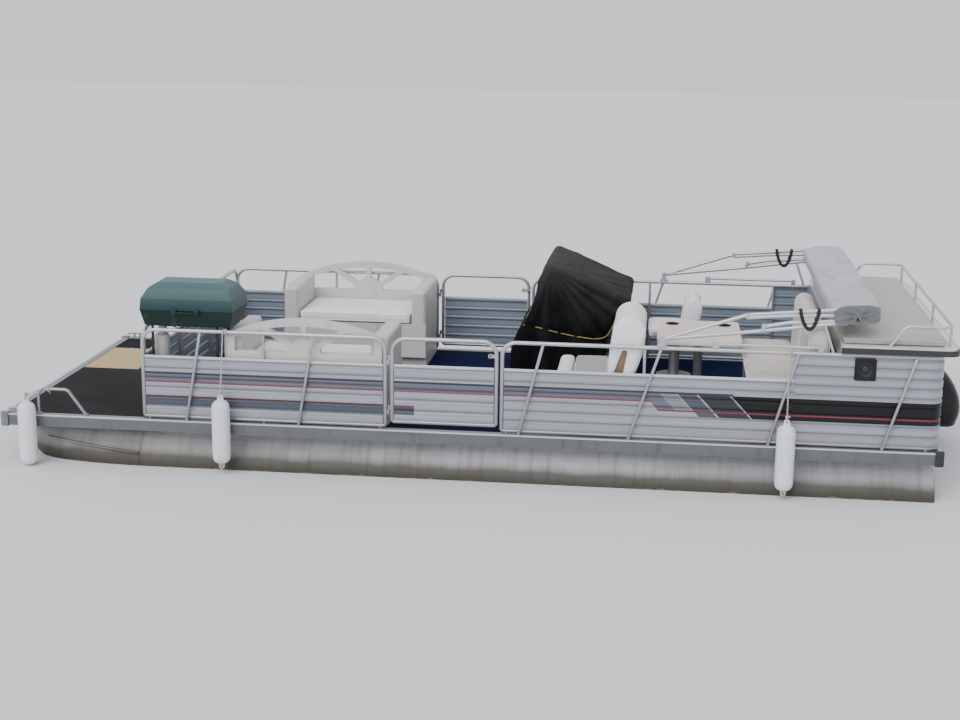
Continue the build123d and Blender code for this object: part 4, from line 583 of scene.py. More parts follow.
# Couches: two moulded seats of pale beige polyethylene, one each side, each with an arched back pierced like a
# fan. Each lifts its lid over a locker and carries a puffed white vinyl cushion.
tree, shader, place = new_finish("couch_moulding", (0.58, 0.545, 0.52), 0.42)
moulded = clouded(tree, place, (0.50, 0.465, 0.44), (0.62, 0.585, 0.56), 3.0, detail=5.0)
scuffs = spots(tree, place, 0.60, 0.74, 0.45, 11.0, (1.0, 1.0, 0.35), 6.0)
paint(tree, shader, mix_paint(tree, scuffs, moulded, (0.34, 0.31, 0.285)))
gloss(tree, shader, drift(tree, place, 0.36, 0.52, 18.0))
roughen(tree, shader, mottle(tree, place, 520.0, detail=2.0), 0.0004, 0.45)
dress("couch_moulding", "couch_bases", "couch_backs")


def vinyl_finish(name, light, dark, soil):
    # coated cloth: a fine leather grain over a slow change of tone, with soil in the hollows
    tree, shader, place = new_finish(name, light, 0.48)
    tone = clouded(tree, place, dark, light, 4.0, detail=5.0)
    soiled = spots(tree, place, 0.58, 0.75, 0.5, 9.0, detail=6.0)
    paint(tree, shader, mix_paint(tree, soiled, tone, soil))
    shader.inputs["Sheen Weight"].default_value = 0.08
    shader.inputs["Coat Weight"].default_value = 0.12
    shader.inputs["Coat Roughness"].default_value = 0.35
    cells = add_node(tree, "TexVoronoi", {"Vector": place, "Scale": 620.0}, feature="DISTANCE_TO_EDGE").outputs[0]
    grain = between(tree, cells, 0.0, 0.22)
    gloss(tree, shader, drift(tree, place, 0.42, 0.58, 22.0))
    roughen(tree, shader, grain, 0.0005, 0.55)


vinyl_finish("white_vinyl", (0.87, 0.865, 0.87), (0.78, 0.775, 0.785), (0.56, 0.54, 0.52))
vinyl_finish("beige_vinyl", (0.60, 0.55, 0.50), (0.50, 0.455, 0.41), (0.36, 0.32, 0.28))
vinyl_finish("mauve_vinyl", (0.36, 0.335, 0.345), (0.29, 0.27, 0.28), (0.20, 0.185, 0.18))
vinyl_finish("tan_pad_vinyl", (0.47, 0.435, 0.39), (0.39, 0.36, 0.325), (0.27, 0.245, 0.215))


def solid_of(node_name, order=None, index=0):
    # one solid of a CAD node as a closed mesh, chosen by its place along an axis
    bm = bmesh.new()
    bm.from_mesh(cad[node_name].data)
    bmesh.ops.remove_doubles(bm, verts=bm.verts, dist=0.00002)
    if order is None:
        return bm
    islands = []
    unseen = set(bm.verts)
    while unseen:
        grown = {unseen.pop()}
        rim = list(grown)
        while rim:
            for link in rim.pop().link_edges:
                for vert in link.verts:
                    if vert in unseen:
                        unseen.discard(vert)
                        grown.add(vert)
                        rim.append(vert)
        islands.append(grown)
    islands.sort(key=lambda island: order(sum((v.co for v in island), Vector()) / len(island)))
    keep = islands[index]
    bmesh.ops.delete(bm, geom=[v for v in bm.verts if v not in keep], context="VERTS")
    return bm


def reach_of(bm):
    # the low and the high corner of a mesh
    low = Vector([min(v.co[axis] for v in bm.verts) for axis in range(3)])
    high = Vector([max(v.co[axis] for v in bm.verts) for axis in range(3)])
    return low, high


def box_solid(low, high, round_by):
    bm = bmesh.new()
    bmesh.ops.create_cube(bm, size=1.0)
    for vert in bm.verts:
        vert.co = Vector([low[axis] if vert.co[axis] < 0 else high[axis] for axis in range(3)])
    bmesh.ops.bevel(bm, geom=list(bm.edges), offset=round_by, segments=4, affect="EDGES", profile=0.5)
    return bm


def frozen(piece):
    # the shape that the piece's modifiers give it, kept as its own mesh
    shape = bpy.data.meshes.new_from_object(piece.evaluated_get(bpy.context.evaluated_depsgraph_get()))
    old = piece.data
    piece.modifiers.clear()
    piece.data = shape
    bpy.data.meshes.remove(old)


def remeshed(name, bm, voxel):
    mesh = bpy.data.meshes.new(name)
    bm.to_mesh(mesh)
    bm.free()
    piece = set_out(name, mesh)
    remesh = piece.modifiers.new("weave", "REMESH")
    remesh.mode = "VOXEL"
    remesh.voxel_size = voxel
    frozen(piece)
    return piece


def eased(bm, turns):
    for turn in range(turns):
        bmesh.ops.smooth_vert(bm, verts=bm.verts, factor=0.5, use_axis_x=True, use_axis_y=True, use_axis_z=True)


def subdivided(piece):
    piece.modifiers.new("smooth", "SUBSURF").levels = 1
    frozen(piece)


def stuffed(name, bm, finish_name, shrink, voxel, cap, seams=(), flat_foot=True, body="hull"):
    # a sewn case filled with foam: the blank is drawn in, remeshed, and blown up against its seams
    # seams: (axis, place) of planes where the case is stitched and stays put
    # cap: the most that the filling may push the case out, and spare: how far it may pass the blank
    spare = 0.004
    foot = 0.0005
    low, high = reach_of(bm)
    bm.normal_update()
    bmesh.ops.recalc_face_normals(bm, faces=bm.faces)
    for vert in bm.verts:
        vert.co -= vert.normal * shrink
    if flat_foot:
        for vert in bm.verts:
            if vert.co.z < low.z + 2.5 * shrink:
                vert.co.z = low.z + foot
    piece = remeshed(name, bm, voxel)
    smooth = bmesh.new()
    smooth.from_mesh(piece.data)
    eased(smooth, 3)
    smooth.to_mesh(piece.data)
    smooth.free()
    start = [vert.co.copy() for vert in piece.data.vertices]
    held = piece.vertex_groups.new(name="stitches")
    for axis, where in seams:
        row = [i for i, co in enumerate(start) if abs(co[axis] - where) < voxel * 0.75]
        held.add(row, 1.0, "REPLACE")
    cloth = piece.modifiers.new("filling", "CLOTH")
    cloth.settings.quality = 5
    cloth.settings.use_pressure = True
    cloth.settings.uniform_pressure_force = 4.0
    cloth.settings.effector_weights.gravity = 0.0
    if seams:
        cloth.settings.vertex_group_mass = "stitches"
    for turn in range(1, 21):
        bpy.context.scene.frame_set(turn)
    blown = piece.evaluated_get(bpy.context.evaluated_depsgraph_get()).to_mesh()
    puffed = [vert.co.copy() for vert in blown.vertices]
    piece.evaluated_get(bpy.context.evaluated_depsgraph_get()).to_mesh_clear()
    piece.modifiers.clear()
    piece.vertex_groups.clear()
    bpy.context.scene.frame_set(1)
    for vert, was, now in zip(piece.data.vertices, start, puffed):
        step = now - was
        if step.length > cap:
            step *= cap / step.length
        place = was + step
        for axis in range(3):
            place[axis] = min(max(place[axis], low[axis] - spare), high[axis] + spare)
        if flat_foot:
            place.z = max(place.z, low.z + foot)
        vert.co = place
    subdivided(piece)
    piece.data.materials.clear()
    piece.data.materials.append(bpy.data.materials[finish_name])
    piece.data.polygons.foreach_set("use_smooth", [True] * len(piece.data.polygons))
    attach(piece, body)
    return piece


def round_line(name, runs, radius, finish_name, body="hull", kind="POLY", closed=False, sides=2, steps=12):
    # a cord, welt, hem or pipe of round section, laid along one or more runs of points
    line = bpy.data.curves.new(name, "CURVE")
    line.dimensions = "3D"
    line.bevel_depth = radius
    line.bevel_resolution = sides
    line.resolution_u = steps
    for points in runs:
        spline = line.splines.new(kind)
        spline.points.add(len(points) - 1)
        for target, co in zip(spline.points, points):
            target.co = (*co, 1.0)
        spline.order_u = 3
        spline.use_cyclic_u = closed
        spline.use_endpoint_u = not closed
    line.materials.append(bpy.data.materials[finish_name])
    cord = set_out(name, line)
    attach(cord, body)
    return cord


def piping(name, piece, point, normal, radius, finish_name, body="hull"):
    # a welt of vinyl cord sewn into the seam where a plane cuts the piece's surface
    proud = 0.4
    shortest_loop = 30
    bm = bmesh.new()
    bm.from_mesh(piece.data)
    cut = bmesh.ops.bisect_plane(bm, geom=bm.verts[:] + bm.edges[:] + bm.faces[:], plane_co=point, plane_no=normal,
                                 clear_inner=False, clear_outer=False)["geom_cut"]
    links = {}
    for edge in cut:
        if isinstance(edge, bmesh.types.BMEdge):
            a, b = edge.verts
            links.setdefault(a, []).append(b)
            links.setdefault(b, []).append(a)
    middle = sum((v.co for v in links), Vector()) / max(1, len(links))
    loops = []
    unseen = dict.fromkeys(links)
    while unseen:
        first = next(iter(unseen))
        del unseen[first]
        loop = [first]
        ahead = [v for v in links[first] if v in unseen]
        while ahead:
            step = ahead[0]
            del unseen[step]
            loop.append(step)
            ahead = [v for v in links[step] if v in unseen]
        if len(loop) > shortest_loop:
            loops.append([v.co.copy() for v in loop])
    bm.free()
    runs = []
    for loop in loops:
        count = len(loop)
        run = []
        for i in range(0, count, 2):
            co = (loop[i - 2] + loop[i - 1] + loop[i] + loop[(i + 1) % count] + loop[(i + 2) % count]) / 5
            away = co - middle
            away -= away.project(Vector(normal))
            run.append(co + away.normalized() * radius * proud)
        runs.append(run)
    return round_line(name, runs, radius, finish_name, body, closed=True)


for side, index in (("port", 0), ("starboard", 1)):
    blank = solid_of("couch_cushions", lambda co: co.y, index)
    low, high = reach_of(blank)
    top_seam, foot_seam = high.z - 0.020, low.z + 0.014
    cushion = stuffed("couch_cushion_" + side, blank, "white_vinyl", 0.010, 0.013, 0.017,
                      seams=((2, top_seam), (2, foot_seam)))
    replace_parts(cushion, "couch_cushions")
    for level, where in (("top", top_seam), ("foot", foot_seam)):
        piping(f"couch_welt_{side}_{level}", cushion, (0, 0, where), (0, 0, 1), 0.0032, "white_vinyl")

# Console: a moulded helm station that stays hidden under a tied canvas cover. The dark grey cloth hangs over the
# windscreen's ridge, in folds that run from the ridge's port end, and a thin yellow line ties it in.
tree, shader, place = new_finish("console_moulding", (0.50, 0.48, 0.45), 0.45)
paint(tree, shader, clouded(tree, place, (0.44, 0.42, 0.39), (0.55, 0.53, 0.50), 5.0))
dress("console_moulding", "console")

tree, shader, place = new_finish("cover_canvas", (0.022, 0.024, 0.028), 0.85)
z = along(tree, place, "Z")
# the canvas is lighter towards the ridge and darker towards the hem
paler_share = between(tree, reckon(tree, "ADD", z, drift(tree, place, -0.10, 0.10, 5.0, detail=6.0)), 0.75, 1.22)
canvas = mix_paint(tree, paler_share, (0.0035, 0.0037, 0.0052), (0.046, 0.045, 0.046))
dust = spots(tree, place, 0.50, 0.78, 0.22, 8.0, (1.0, 1.0, 0.6), 8.0)
paint(tree, shader, mix_paint(tree, dust, canvas, (0.055, 0.054, 0.053)))
shader.inputs["Specular IOR Level"].default_value = 0.15
threads = add_node(tree, "TexWave", {"Vector": place, "Scale": 260.0}, bands_direction="X").outputs["Fac"]
crossing = add_node(tree, "TexWave", {"Vector": place, "Scale": 260.0}, bands_direction="Z").outputs["Fac"]
wrinkle = mottle(tree, place, 14.0, (1.0, 1.0, 1.6), 5.0, 0.6)
weave = reckon(tree, "ADD", reckon(tree, "MULTIPLY", threads, crossing), reckon(tree, "MULTIPLY", wrinkle, 9.0))
roughen(tree, shader, weave, 0.0011, 0.8)

cover_low, cover_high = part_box("console_cover")
FRONT_X = cover_low.x
RIDGE_Z = cover_high.z
HEM_Z = cover_low.z
# distance aft of the cover's front and drop below its ridge, round the outside from hem to hem
COVER_OUTLINE = ((0.000, None), (0.000, 0.606), (0.022, 0.560), (0.053, 0.494), (0.100, 0.412), (0.146, 0.332),
                 (0.170, 0.222), (0.192, 0.108), (0.222, 0.052), (0.248, 0.008), (0.262, 0.000), (0.276, 0.002),
                 (0.420, 0.060), (0.560, 0.116), (0.700, 0.172), (0.826, 0.222), (0.838, 0.236), (0.838, 0.258),
                 (0.826, 0.274), (0.780, 0.312), (0.738, 0.345), (0.705, 0.420), (0.672, 0.506), (0.655, 0.560),
                 (0.640, None))
bm = bmesh.new()
shell = []
for where in (cover_low.y + 0.006, cover_high.y - 0.002):
    shell.append([bm.verts.new((FRONT_X + aft, where, HEM_Z - 0.02 if drop is None else RIDGE_Z - drop))
                  for aft, drop in COVER_OUTLINE])
skin(bm, shell, caps="both")
bmesh.ops.recalc_face_normals(bm, faces=bm.faces)
canvas_piece = remeshed("console_canvas", bm, 0.011)

APEX = Vector((FRONT_X + 0.262, cover_low.y, RIDGE_Z))
# place of the tying line along the port face: distance aft of the front and drop below the ridge
TIE_POINTS = ((0.086, 0.436), (0.175, 0.446), (0.400, 0.500), (0.663, 0.530), (0.715, 0.440), (0.760, 0.352))
# degrees aft of straight down, depth in metres and half width in degrees of each fold on the port face
PORT_FOLDS = ((-24.0, 0.012, 4.0), (-9.0, 0.018, 3.2), (4.0, 0.024, 3.4), (15.0, 0.027, 3.6), (27.0, 0.024, 3.6),
              (38.0, 0.027, 3.8), (50.0, 0.022, 3.4), (60.0, 0.018, 3.2))
# the same for the sloping top, measured from straight aft towards starboard
TOP_FOLDS = ((8.0, 0.010, 4.5), (20.0, 0.014, 5.0), (33.0, 0.011, 5.0), (47.0, 0.010, 6.0), (62.0, 0.008, 6.0))


def fold_depth(folds, angle, reach):
    # the folds run out towards the ridge's end, where they all meet
    depth = 0.0
    for centre, most, half in folds:
        share = (angle - centre) / half
        depth += most * math.exp(-share * share)
    return depth * min(1.0, reach / 0.14)


def tie_drop(aft):
    # how far the tying line lies below the ridge
    for (a, top), (b, foot) in zip(TIE_POINTS, TIE_POINTS[1:]):
        if a <= aft <= b:
            return top + (foot - top) * (aft - a) / (b - a)
    return TIE_POINTS[0][1] if aft < TIE_POINTS[0][0] else TIE_POINTS[-1][1]


bm = bmesh.new()
bm.from_mesh(canvas_piece.data)
eased(bm, 2)
bm.normal_update()
moves = {}
for vert in bm.verts:
    co, normal = vert.co, vert.normal
    aft, down = co.x - APEX.x, APEX.z - co.z
    port = max(0.0, -normal.y)
    top = max(0.0, normal.x * 0.36 + normal.z * 0.93) if aft > 0 else 0.0
    port_angle = math.degrees(math.atan2(aft, max(down, 0.001)))
    depth = port * fold_depth(PORT_FOLDS, port_angle, math.hypot(aft, down))
    top_angle = math.degrees(math.atan2(co.y - APEX.y, max(aft, 0.001)))
    depth += top * fold_depth(TOP_FOLDS, top_angle, math.hypot(aft, co.y - APEX.y))
    broad = noise.noise(Vector((co.x * 7, co.y * 5, co.z * 6)))
    fine = noise.noise(Vector((co.x * 17, co.y * 13, co.z * 9)))
    depth += 0.005 * (broad + 0.5 * fine)
    # the line draws the cloth in, and below it the skirt is gathered
    tie = (RIDGE_Z - co.z) - tie_drop(co.x - FRONT_X)
    depth += 0.012 * math.exp(-(tie / 0.026) ** 2) * (0.3 + 0.7 * port)
    if tie > 0:
        depth += 0.003 * math.sin(co.x * 55.0 + 9.0 * co.y) * min(1.0, tie / 0.06)
    stand = 0.013 + 0.015 * port
    moves[vert] = normal * (stand - min(depth, stand + 0.001))
for vert, move in moves.items():
    vert.co += move
    vert.co.y = min(vert.co.y, cover_high.y - 0.001)
hem = []
for face in bm.faces:
    middle = face.calc_center_median()
    if middle.z < HEM_Z + 0.004 + 0.006 * math.sin(middle.x * 21):
        hem.append(face)
bmesh.ops.delete(bm, geom=hem, context="FACES")
bm.to_mesh(canvas_piece.data)
bm.free()
subdivided(canvas_piece)
canvas_piece.data.materials.append(bpy.data.materials["cover_canvas"])
canvas_piece.data.polygons.foreach_set("use_smooth", [True] * len(canvas_piece.data.polygons))
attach(canvas_piece, "hull")
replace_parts(canvas_piece, "console_cover")

tree, shader, place = new_finish("yellow_line", (0.42, 0.33, 0.08), 0.7)
strands = add_node(tree, "TexWave", {"Vector": place, "Scale": 95.0, "Distortion": 1.0},
                   bands_direction="DIAGONAL").outputs["Fac"]
paint(tree, shader, mix_paint(tree, strands, (0.20, 0.15, 0.035), (0.48, 0.38, 0.10)))
roughen(tree, shader, strands, 0.001, 0.8)
route = [(FRONT_X + aft, cover_low.y - 0.001, RIDGE_Z - drop) for aft, drop in TIE_POINTS]
# the rest of its way round the boat side: distance aft of the front, place across and drop below the ridge
inboard_y = cover_high.y + 0.0025
MIDDLE_Y = 0.70
route += [(FRONT_X + aft, across, RIDGE_Z - drop) for aft, across, drop in (
    (0.772, cover_low.y + 0.03, 0.330), (0.772, MIDDLE_Y, 0.334), (0.772, cover_high.y - 0.03, 0.332),
    (0.730, inboard_y, 0.370), (0.400, inboard_y, 0.460), (0.120, inboard_y, 0.430),
    (0.078, cover_high.y - 0.03, 0.430), (0.078, MIDDLE_Y, 0.440), (0.076, cover_low.y + 0.02, 0.436))]
tie = round_line("cover_tie", [route], 0.004, "yellow_line", kind="NURBS", closed=True, sides=3, steps=6)

# Port lounge: one seat that faces forward on a moulded box. The white vinyl back is egg shaped from the side, with
# a brown board up its middle, and the mauve-grey seat ends in a white front roll.
BOX_TOP = DECK_EDGE + 0.3304
tree, shader, place = new_finish("seat_box", (0.56, 0.525, 0.50), 0.5)
z = along(tree, place, "Z")
box_paint = clouded(tree, place, (0.48, 0.45, 0.42), (0.60, 0.565, 0.54), 5.0)
wood = clouded(tree, place, (0.13, 0.075, 0.035), (0.26, 0.165, 0.085), 22.0, (0.25, 1.6, 0.25), 5.0)
paint(tree, shader, mix_paint(tree, between(tree, z, BOX_TOP - 0.0002, BOX_TOP + 0.0002), box_paint, wood))
dress("seat_box", "lounge_base", "aft_base")

LOUNGE_ROLL = 0.108
blank = solid_of("lounge_cushions", lambda co: co.x, 0)
seat_low, seat_high = reach_of(blank)
blank.free()
seat_start = seat_low.x + LOUNGE_ROLL
seat_seam = seat_high.z - 0.018
back_seams = (("port", seat_low.y + 0.020), ("inboard", seat_high.y - 0.020))
stuffed("lounge_front_roll", box_solid(seat_low, (seat_start, seat_high.y, seat_high.z), 0.034),
        "white_vinyl", 0.005, 0.008, 0.009)
seat = stuffed("lounge_seat", box_solid((seat_start, seat_low.y, seat_low.z), seat_high, 0.018),
               "mauve_vinyl", 0.006, 0.009, 0.012, seams=((2, seat_seam),))
back = stuffed("lounge_back", solid_of("lounge_cushions", lambda co: co.x, 1), "white_vinyl", 0.004, 0.0075, 0.007,
               seams=[(1, where) for _, where in back_seams])
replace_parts(back, "lounge_cushions")
piping("lounge_seat_welt", seat, (0, 0, seat_seam), (0, 0, 1), 0.003, "white_vinyl")
for label, where in back_seams:
    piping("lounge_back_welt_" + label, back, (0, where, 0), (0, 1, 0), 0.003, "white_vinyl")

# Helm seat: the same form as the lounge, smaller, in white vinyl on a moulded shell. The shell is screwed to a
# round plate that turns on the pedestal.
helm_low, helm_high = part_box("helm_seat")
HELM_X = 1.382
HELM_Y = 0.620
HELM_TOP = DECK_EDGE + 0.400
HELM_CUSHION = 0.085
HELM_SEAM = 0.018
# the back has the lounge's outline at this share of its size
HELM_SHARE = 0.62
# the lounge back's outline, aft of the seat and over the cushion
BACK_OUTLINE = ((-0.008, -0.040), (-0.007, 0.020), (0.004, 0.085), (0.013, 0.170), (0.026, 0.260), (0.046, 0.318),
                (0.080, 0.354), (0.119, 0.366), (0.164, 0.355), (0.206, 0.320), (0.232, 0.267), (0.228, 0.190),
                (0.208, 0.110), (0.172, 0.020), (0.152, -0.040))
helm_foot = HELM_TOP - HELM_CUSHION
seat_seam = HELM_TOP - 0.020
back_seams = (("port", helm_low.y + HELM_SEAM), ("starboard", helm_high.y - HELM_SEAM))
blank = box_solid((HELM_X - 0.200, helm_low.y, helm_foot + 0.004), (HELM_X + 0.062, helm_high.y, HELM_TOP), 0.022)
helm_seat = stuffed("helm_cushion", blank, "white_vinyl", 0.006, 0.008, 0.010, seams=((2, seat_seam),),
                    body="helm")
bm = bmesh.new()
ends = []
for where in (helm_low.y, helm_high.y):
    ends.append([bm.verts.new((HELM_X + 0.045 + HELM_SHARE * aft, where,
                               HELM_TOP + HELM_SHARE * rise_over - 0.012)) for aft, rise_over in BACK_OUTLINE])
skin(bm, ends, caps="both")
helm_back = stuffed("helm_back", bm, "white_vinyl", 0.006, 0.008, 0.010,
                    seams=[(1, where) for _, where in back_seams], flat_foot=False, body="helm")
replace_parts(helm_back, "helm_seat")
for label, where in back_seams:
    piping("helm_back_welt_" + label, helm_back, (0, where, 0), (0, 1, 0), 0.0028, "white_vinyl", "helm")
piping("helm_seat_welt", helm_seat, (0, 0, seat_seam), (0, 0, 1), 0.0028, "white_vinyl", "helm")

SHELL_CORNER = 0.04
CORNER_STEPS = 6
# the shell's corners about the pedestal, and its rings as share of that plan and height over the cushion's foot
SHELL_PLAN = ((-0.165, -0.175), (0.150, -0.175), (0.150, 0.175), (-0.165, 0.175))
SHELL_RINGS = ((0.72, -0.0006), (1.0, 0.016), (1.04, 0.030), (1.0, 0.032))
bm = bmesh.new()
rings = []
for share, over in SHELL_RINGS:
    ring = []
    for corner, (cx, cy) in enumerate(SHELL_PLAN):
        cx -= math.copysign(SHELL_CORNER, cx)
        cy -= math.copysign(SHELL_CORNER, cy)
        for turn in range(CORNER_STEPS):
            angle = math.radians(180 + 90 * corner + 90 * turn / (CORNER_STEPS - 1))
            ring.append(bm.verts.new((HELM_X + share * (cx + SHELL_CORNER * math.cos(angle)),
                                      HELM_Y + share * (cy + SHELL_CORNER * math.sin(angle)), helm_foot + over)))
    rings.append(ring)
skin(bm, rings, caps="both")
bmesh.ops.recalc_face_normals(bm, faces=bm.faces)
make_piece("helm_shell", bm, "couch_moulding", "helm")
bm = bmesh.new()
plate = bmesh.ops.create_cone(bm, segments=48, radius1=0.088, radius2=0.095, depth=0.0092, cap_ends=True)["verts"]
bmesh.ops.translate(bm, vec=(HELM_X, HELM_Y, helm_foot - 0.0053), verts=plate)
for turn in range(6):
    angle = math.tau * turn / 6
    screw = (HELM_X + 0.078 * math.cos(angle), HELM_Y + 0.078 * math.sin(angle), helm_foot - 0.0094)
    pan_head(bm, screw, (0, 0, -1), 0.004, 0.0004)
make_piece("helm_plate", bm, "bright_tube", "helm")

# Table: a board with a pale pink-beige laminate top on a turned pedestal. A white moulded band is pressed round
# its edge, and two dark plastic cup rings are let into it.
table_low, table_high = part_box("table_top")
tree, shader, place = new_finish("table_top_laminate", (0.66, 0.57, 0.50), 0.30)
z = along(tree, place, "Z")
laminate = clouded(tree, place, (0.60, 0.51, 0.44), (0.70, 0.61, 0.54), 6.0, (1.0, 3.0, 1.0), 6.0)
rim = between(tree, z, table_high.z - 0.0012, table_high.z - 0.0006)
paint(tree, shader, mix_paint(tree, rim, (0.72, 0.71, 0.69), laminate))
gloss(tree, shader, drift(tree, place, 0.24, 0.40, 40.0))
dress("table_top_laminate", "table_top")

tree, shader, place = new_finish("white_edge", (0.78, 0.775, 0.76), 0.35)
paint(tree, shader, clouded(tree, place, (0.68, 0.67, 0.655), (0.82, 0.815, 0.80), 8.0))
bm = bmesh.new()
centre = (table_low + table_high) / 2
half_x, half_y = (table_high.x - table_low.x) / 2, (table_high.y - table_low.y) / 2
TABLE_CORNER = 0.040
# proud of the board and drop below its top, round the band's section
BAND_SECTION = ((-0.0002, 0.0016), (0.0012, 0.0020), (0.0022, 0.0060), (0.0022, 0.0320), (0.0012, 0.0360),
                (-0.0002, 0.0364))
rings = []
for corner, (sx, sy) in enumerate(((1, 1), (-1, 1), (-1, -1), (1, -1))):
    for turn in range(9):
        angle = math.radians(90 * corner + 90 * turn / 8)
        out = Vector((math.cos(angle), math.sin(angle), 0))
        foot = Vector((centre.x + sx * (half_x - TABLE_CORNER), centre.y + sy * (half_y - TABLE_CORNER), 0))
        foot += out * TABLE_CORNER
        rings.append([bm.verts.new((foot.x + out.x * proud, foot.y + out.y * proud, table_high.z - drop))
                      for proud, drop in BAND_SECTION])
skin(bm, rings + rings[:1], closed=False)
bmesh.ops.recalc_face_normals(bm, faces=bm.faces)
make_piece("table_edge_band", bm, "white_edge", sharp=50)

bm = bmesh.new()
# radius and height over the table's top, round the ring's section
CUP_SECTION = ((0.0398, -0.0170), (0.0398, 0.0006), (0.0470, 0.0006), (0.0484, 0.0018), (0.0470, 0.0030),
               (0.0400, 0.0030), (0.0380, 0.0022), (0.0372, -0.0150), (0.0355, -0.0168), (0.0010, -0.0168))
# the cups' place on the table, as shares of its length and width from the middle
for share in (-0.32, 0.32):
    cup = (centre.x + share * 2 * half_x, centre.y + 0.3 * 2 * half_y, table_high.z)
    turned(bm, cup, CUP_SECTION, 40, 2, "last")
bmesh.ops.recalc_face_normals(bm, faces=bm.faces)
make_piece("cup_rings", bm, "speaker_moulding")

# Aft lounge: two beige seats side by side with rounded backs, on one moulded box against the sun deck. Seats and
# backs are foam in beige vinyl, with white welts in their seams.
for label, index in (("port", 0), ("inboard", 1)):
    for kind, first in (("seat", 0), ("back", 2)):
        blank = solid_of("aft_cushions", lambda co: (round(co.x, 1), co.y), first + index)
        low, high = reach_of(blank)
        if kind == "seat":
            seam = high.z - 0.020
            pad = stuffed("aft_seat_" + label, blank, "beige_vinyl", 0.007, 0.011, 0.013, seams=((2, seam),))
            piping("aft_seat_welt_" + label, pad, (0, 0, seam), (0, 0, 1), 0.0032, "white_vinyl")
        else:
            seams = (("a", low.y + 0.022), ("b", high.y - 0.022))
            pad = stuffed("aft_back_" + label, blank, "beige_vinyl", 0.006, 0.010, 0.011,
                          seams=[(1, where) for _, where in seams])
            for end, where in seams:
                piping(f"aft_back_welt_{label}_{end}", pad, (0, where, 0), (0, 1, 0), 0.0032, "white_vinyl")
        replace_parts(pad, "aft_cushions")

# Sun deck: a white moulded slab on plywood sides over the motor well, with a black vinyl rub strip round its edge
# and a thin tan foam pad. Low bright rails run round three sides.
tree, shader, place = new_finish("slab_gelcoat", (0.70, 0.69, 0.67), 0.28)
gel = clouded(tree, place, (0.62, 0.60, 0.575), (0.74, 0.73, 0.71), 3.0, detail=5.0)
paint(tree, shader, mix_paint(tree, spots(tree, place, 0.55, 0.8, 0.4, 9.0), gel, (0.42, 0.39, 0.35)))
shader.inputs["Coat Weight"].default_value = 0.3
dress("slab_gelcoat", "sundeck_slab")
tree, shader, place = new_finish("well_board", (0.20, 0.22, 0.25), 0.7)
paint(tree, shader, clouded(tree, place, (0.15, 0.165, 0.19), (0.22, 0.24, 0.27), 12.0))
roughen(tree, shader, mottle(tree, place, 260.0), 0.001, 0.6)
dress("well_board", "sundeck_base")
tree, shader, place = new_finish("rub_vinyl", (0.016, 0.016, 0.018), 0.5)
paint(tree, shader, clouded(tree, place, (0.010, 0.010, 0.011), (0.040, 0.039, 0.039), 10.0, detail=6.0))
dress("rub_vinyl", "sundeck_rub_strip")

blank = solid_of("sundeck_pad")
pad_low, pad_high = reach_of(blank)
thirds = [pad_low.y + (pad_high.y - pad_low.y) * share for share in (1 / 3, 2 / 3)]
sun_pad = stuffed("sun_pad", blank, "tan_pad_vinyl", 0.005, 0.014, 0.010,
                  seams=((2, pad_high.z - 0.010), (1, thirds[0]), (1, thirds[1])))
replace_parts(sun_pad, "sundeck_pad")
piping("sun_pad_welt", sun_pad, (0, 0, pad_high.z - 0.012), (0, 0, 1), 0.003, "tan_pad_vinyl")

# Canopy: four bright bows folded aft and bundled under one grey acrylic boot across the boat. The boot is a sleeve
# of cloth, closed at its ends and zipped along its underside. A black strap hangs round the arms on each side.
PIVOT_X = 1.287
RAIL_TOP = DECK_EDGE + 0.610
BOOT_CENTRE = (PIVOT_X + 1.188, RAIL_TOP + 0.240)
BOOT_TILT = math.radians(5.0)
tree, shader, place = new_finish("boot_acrylic", (0.36, 0.37, 0.39), 0.85)
y = along(tree, place, "Y")
cloth = clouded(tree, place, (0.45, 0.46, 0.48), (0.62, 0.63, 0.655), 3.5, detail=6.0)
stain = spots(tree, place, 0.56, 0.75, 0.5, 7.0, (1.0, 0.5, 1.0), 6.0)
cloth = mix_paint(tree, stain, cloth, (0.30, 0.30, 0.305))
# the end flaps are painted a darker grey: painted shade on the sleeve's ends
paint(tree, shader,
      mix_paint(tree, between(tree, reckon(tree, "ABSOLUTE", y), 1.172, 1.184), cloth, (0.155, 0.162, 0.172)))
threads = add_node(tree, "TexWave", {"Vector": place, "Scale": 240.0}, bands_direction="X").outputs["Fac"]
crossing = add_node(tree, "TexWave", {"Vector": place, "Scale": 240.0}, bands_direction="Y").outputs["Fac"]
crease = mottle(tree, place, 9.0, (2.2, 0.7, 2.2), 4.0, 0.8)
roughen(tree, shader,
        reckon(tree, "ADD", reckon(tree, "MULTIPLY", threads, crossing), reckon(tree, "MULTIPLY", crease, 8.0)),
        0.0011, 0.8)

HALF_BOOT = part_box("canopy_boot")[1].y - 0.004
# half the bundle's length along the arms, half its height, and how square its section is
BOOT_HALF_LONG = 0.147
BOOT_HALF_TALL = 0.060
BOOT_SQUARENESS = 4.6
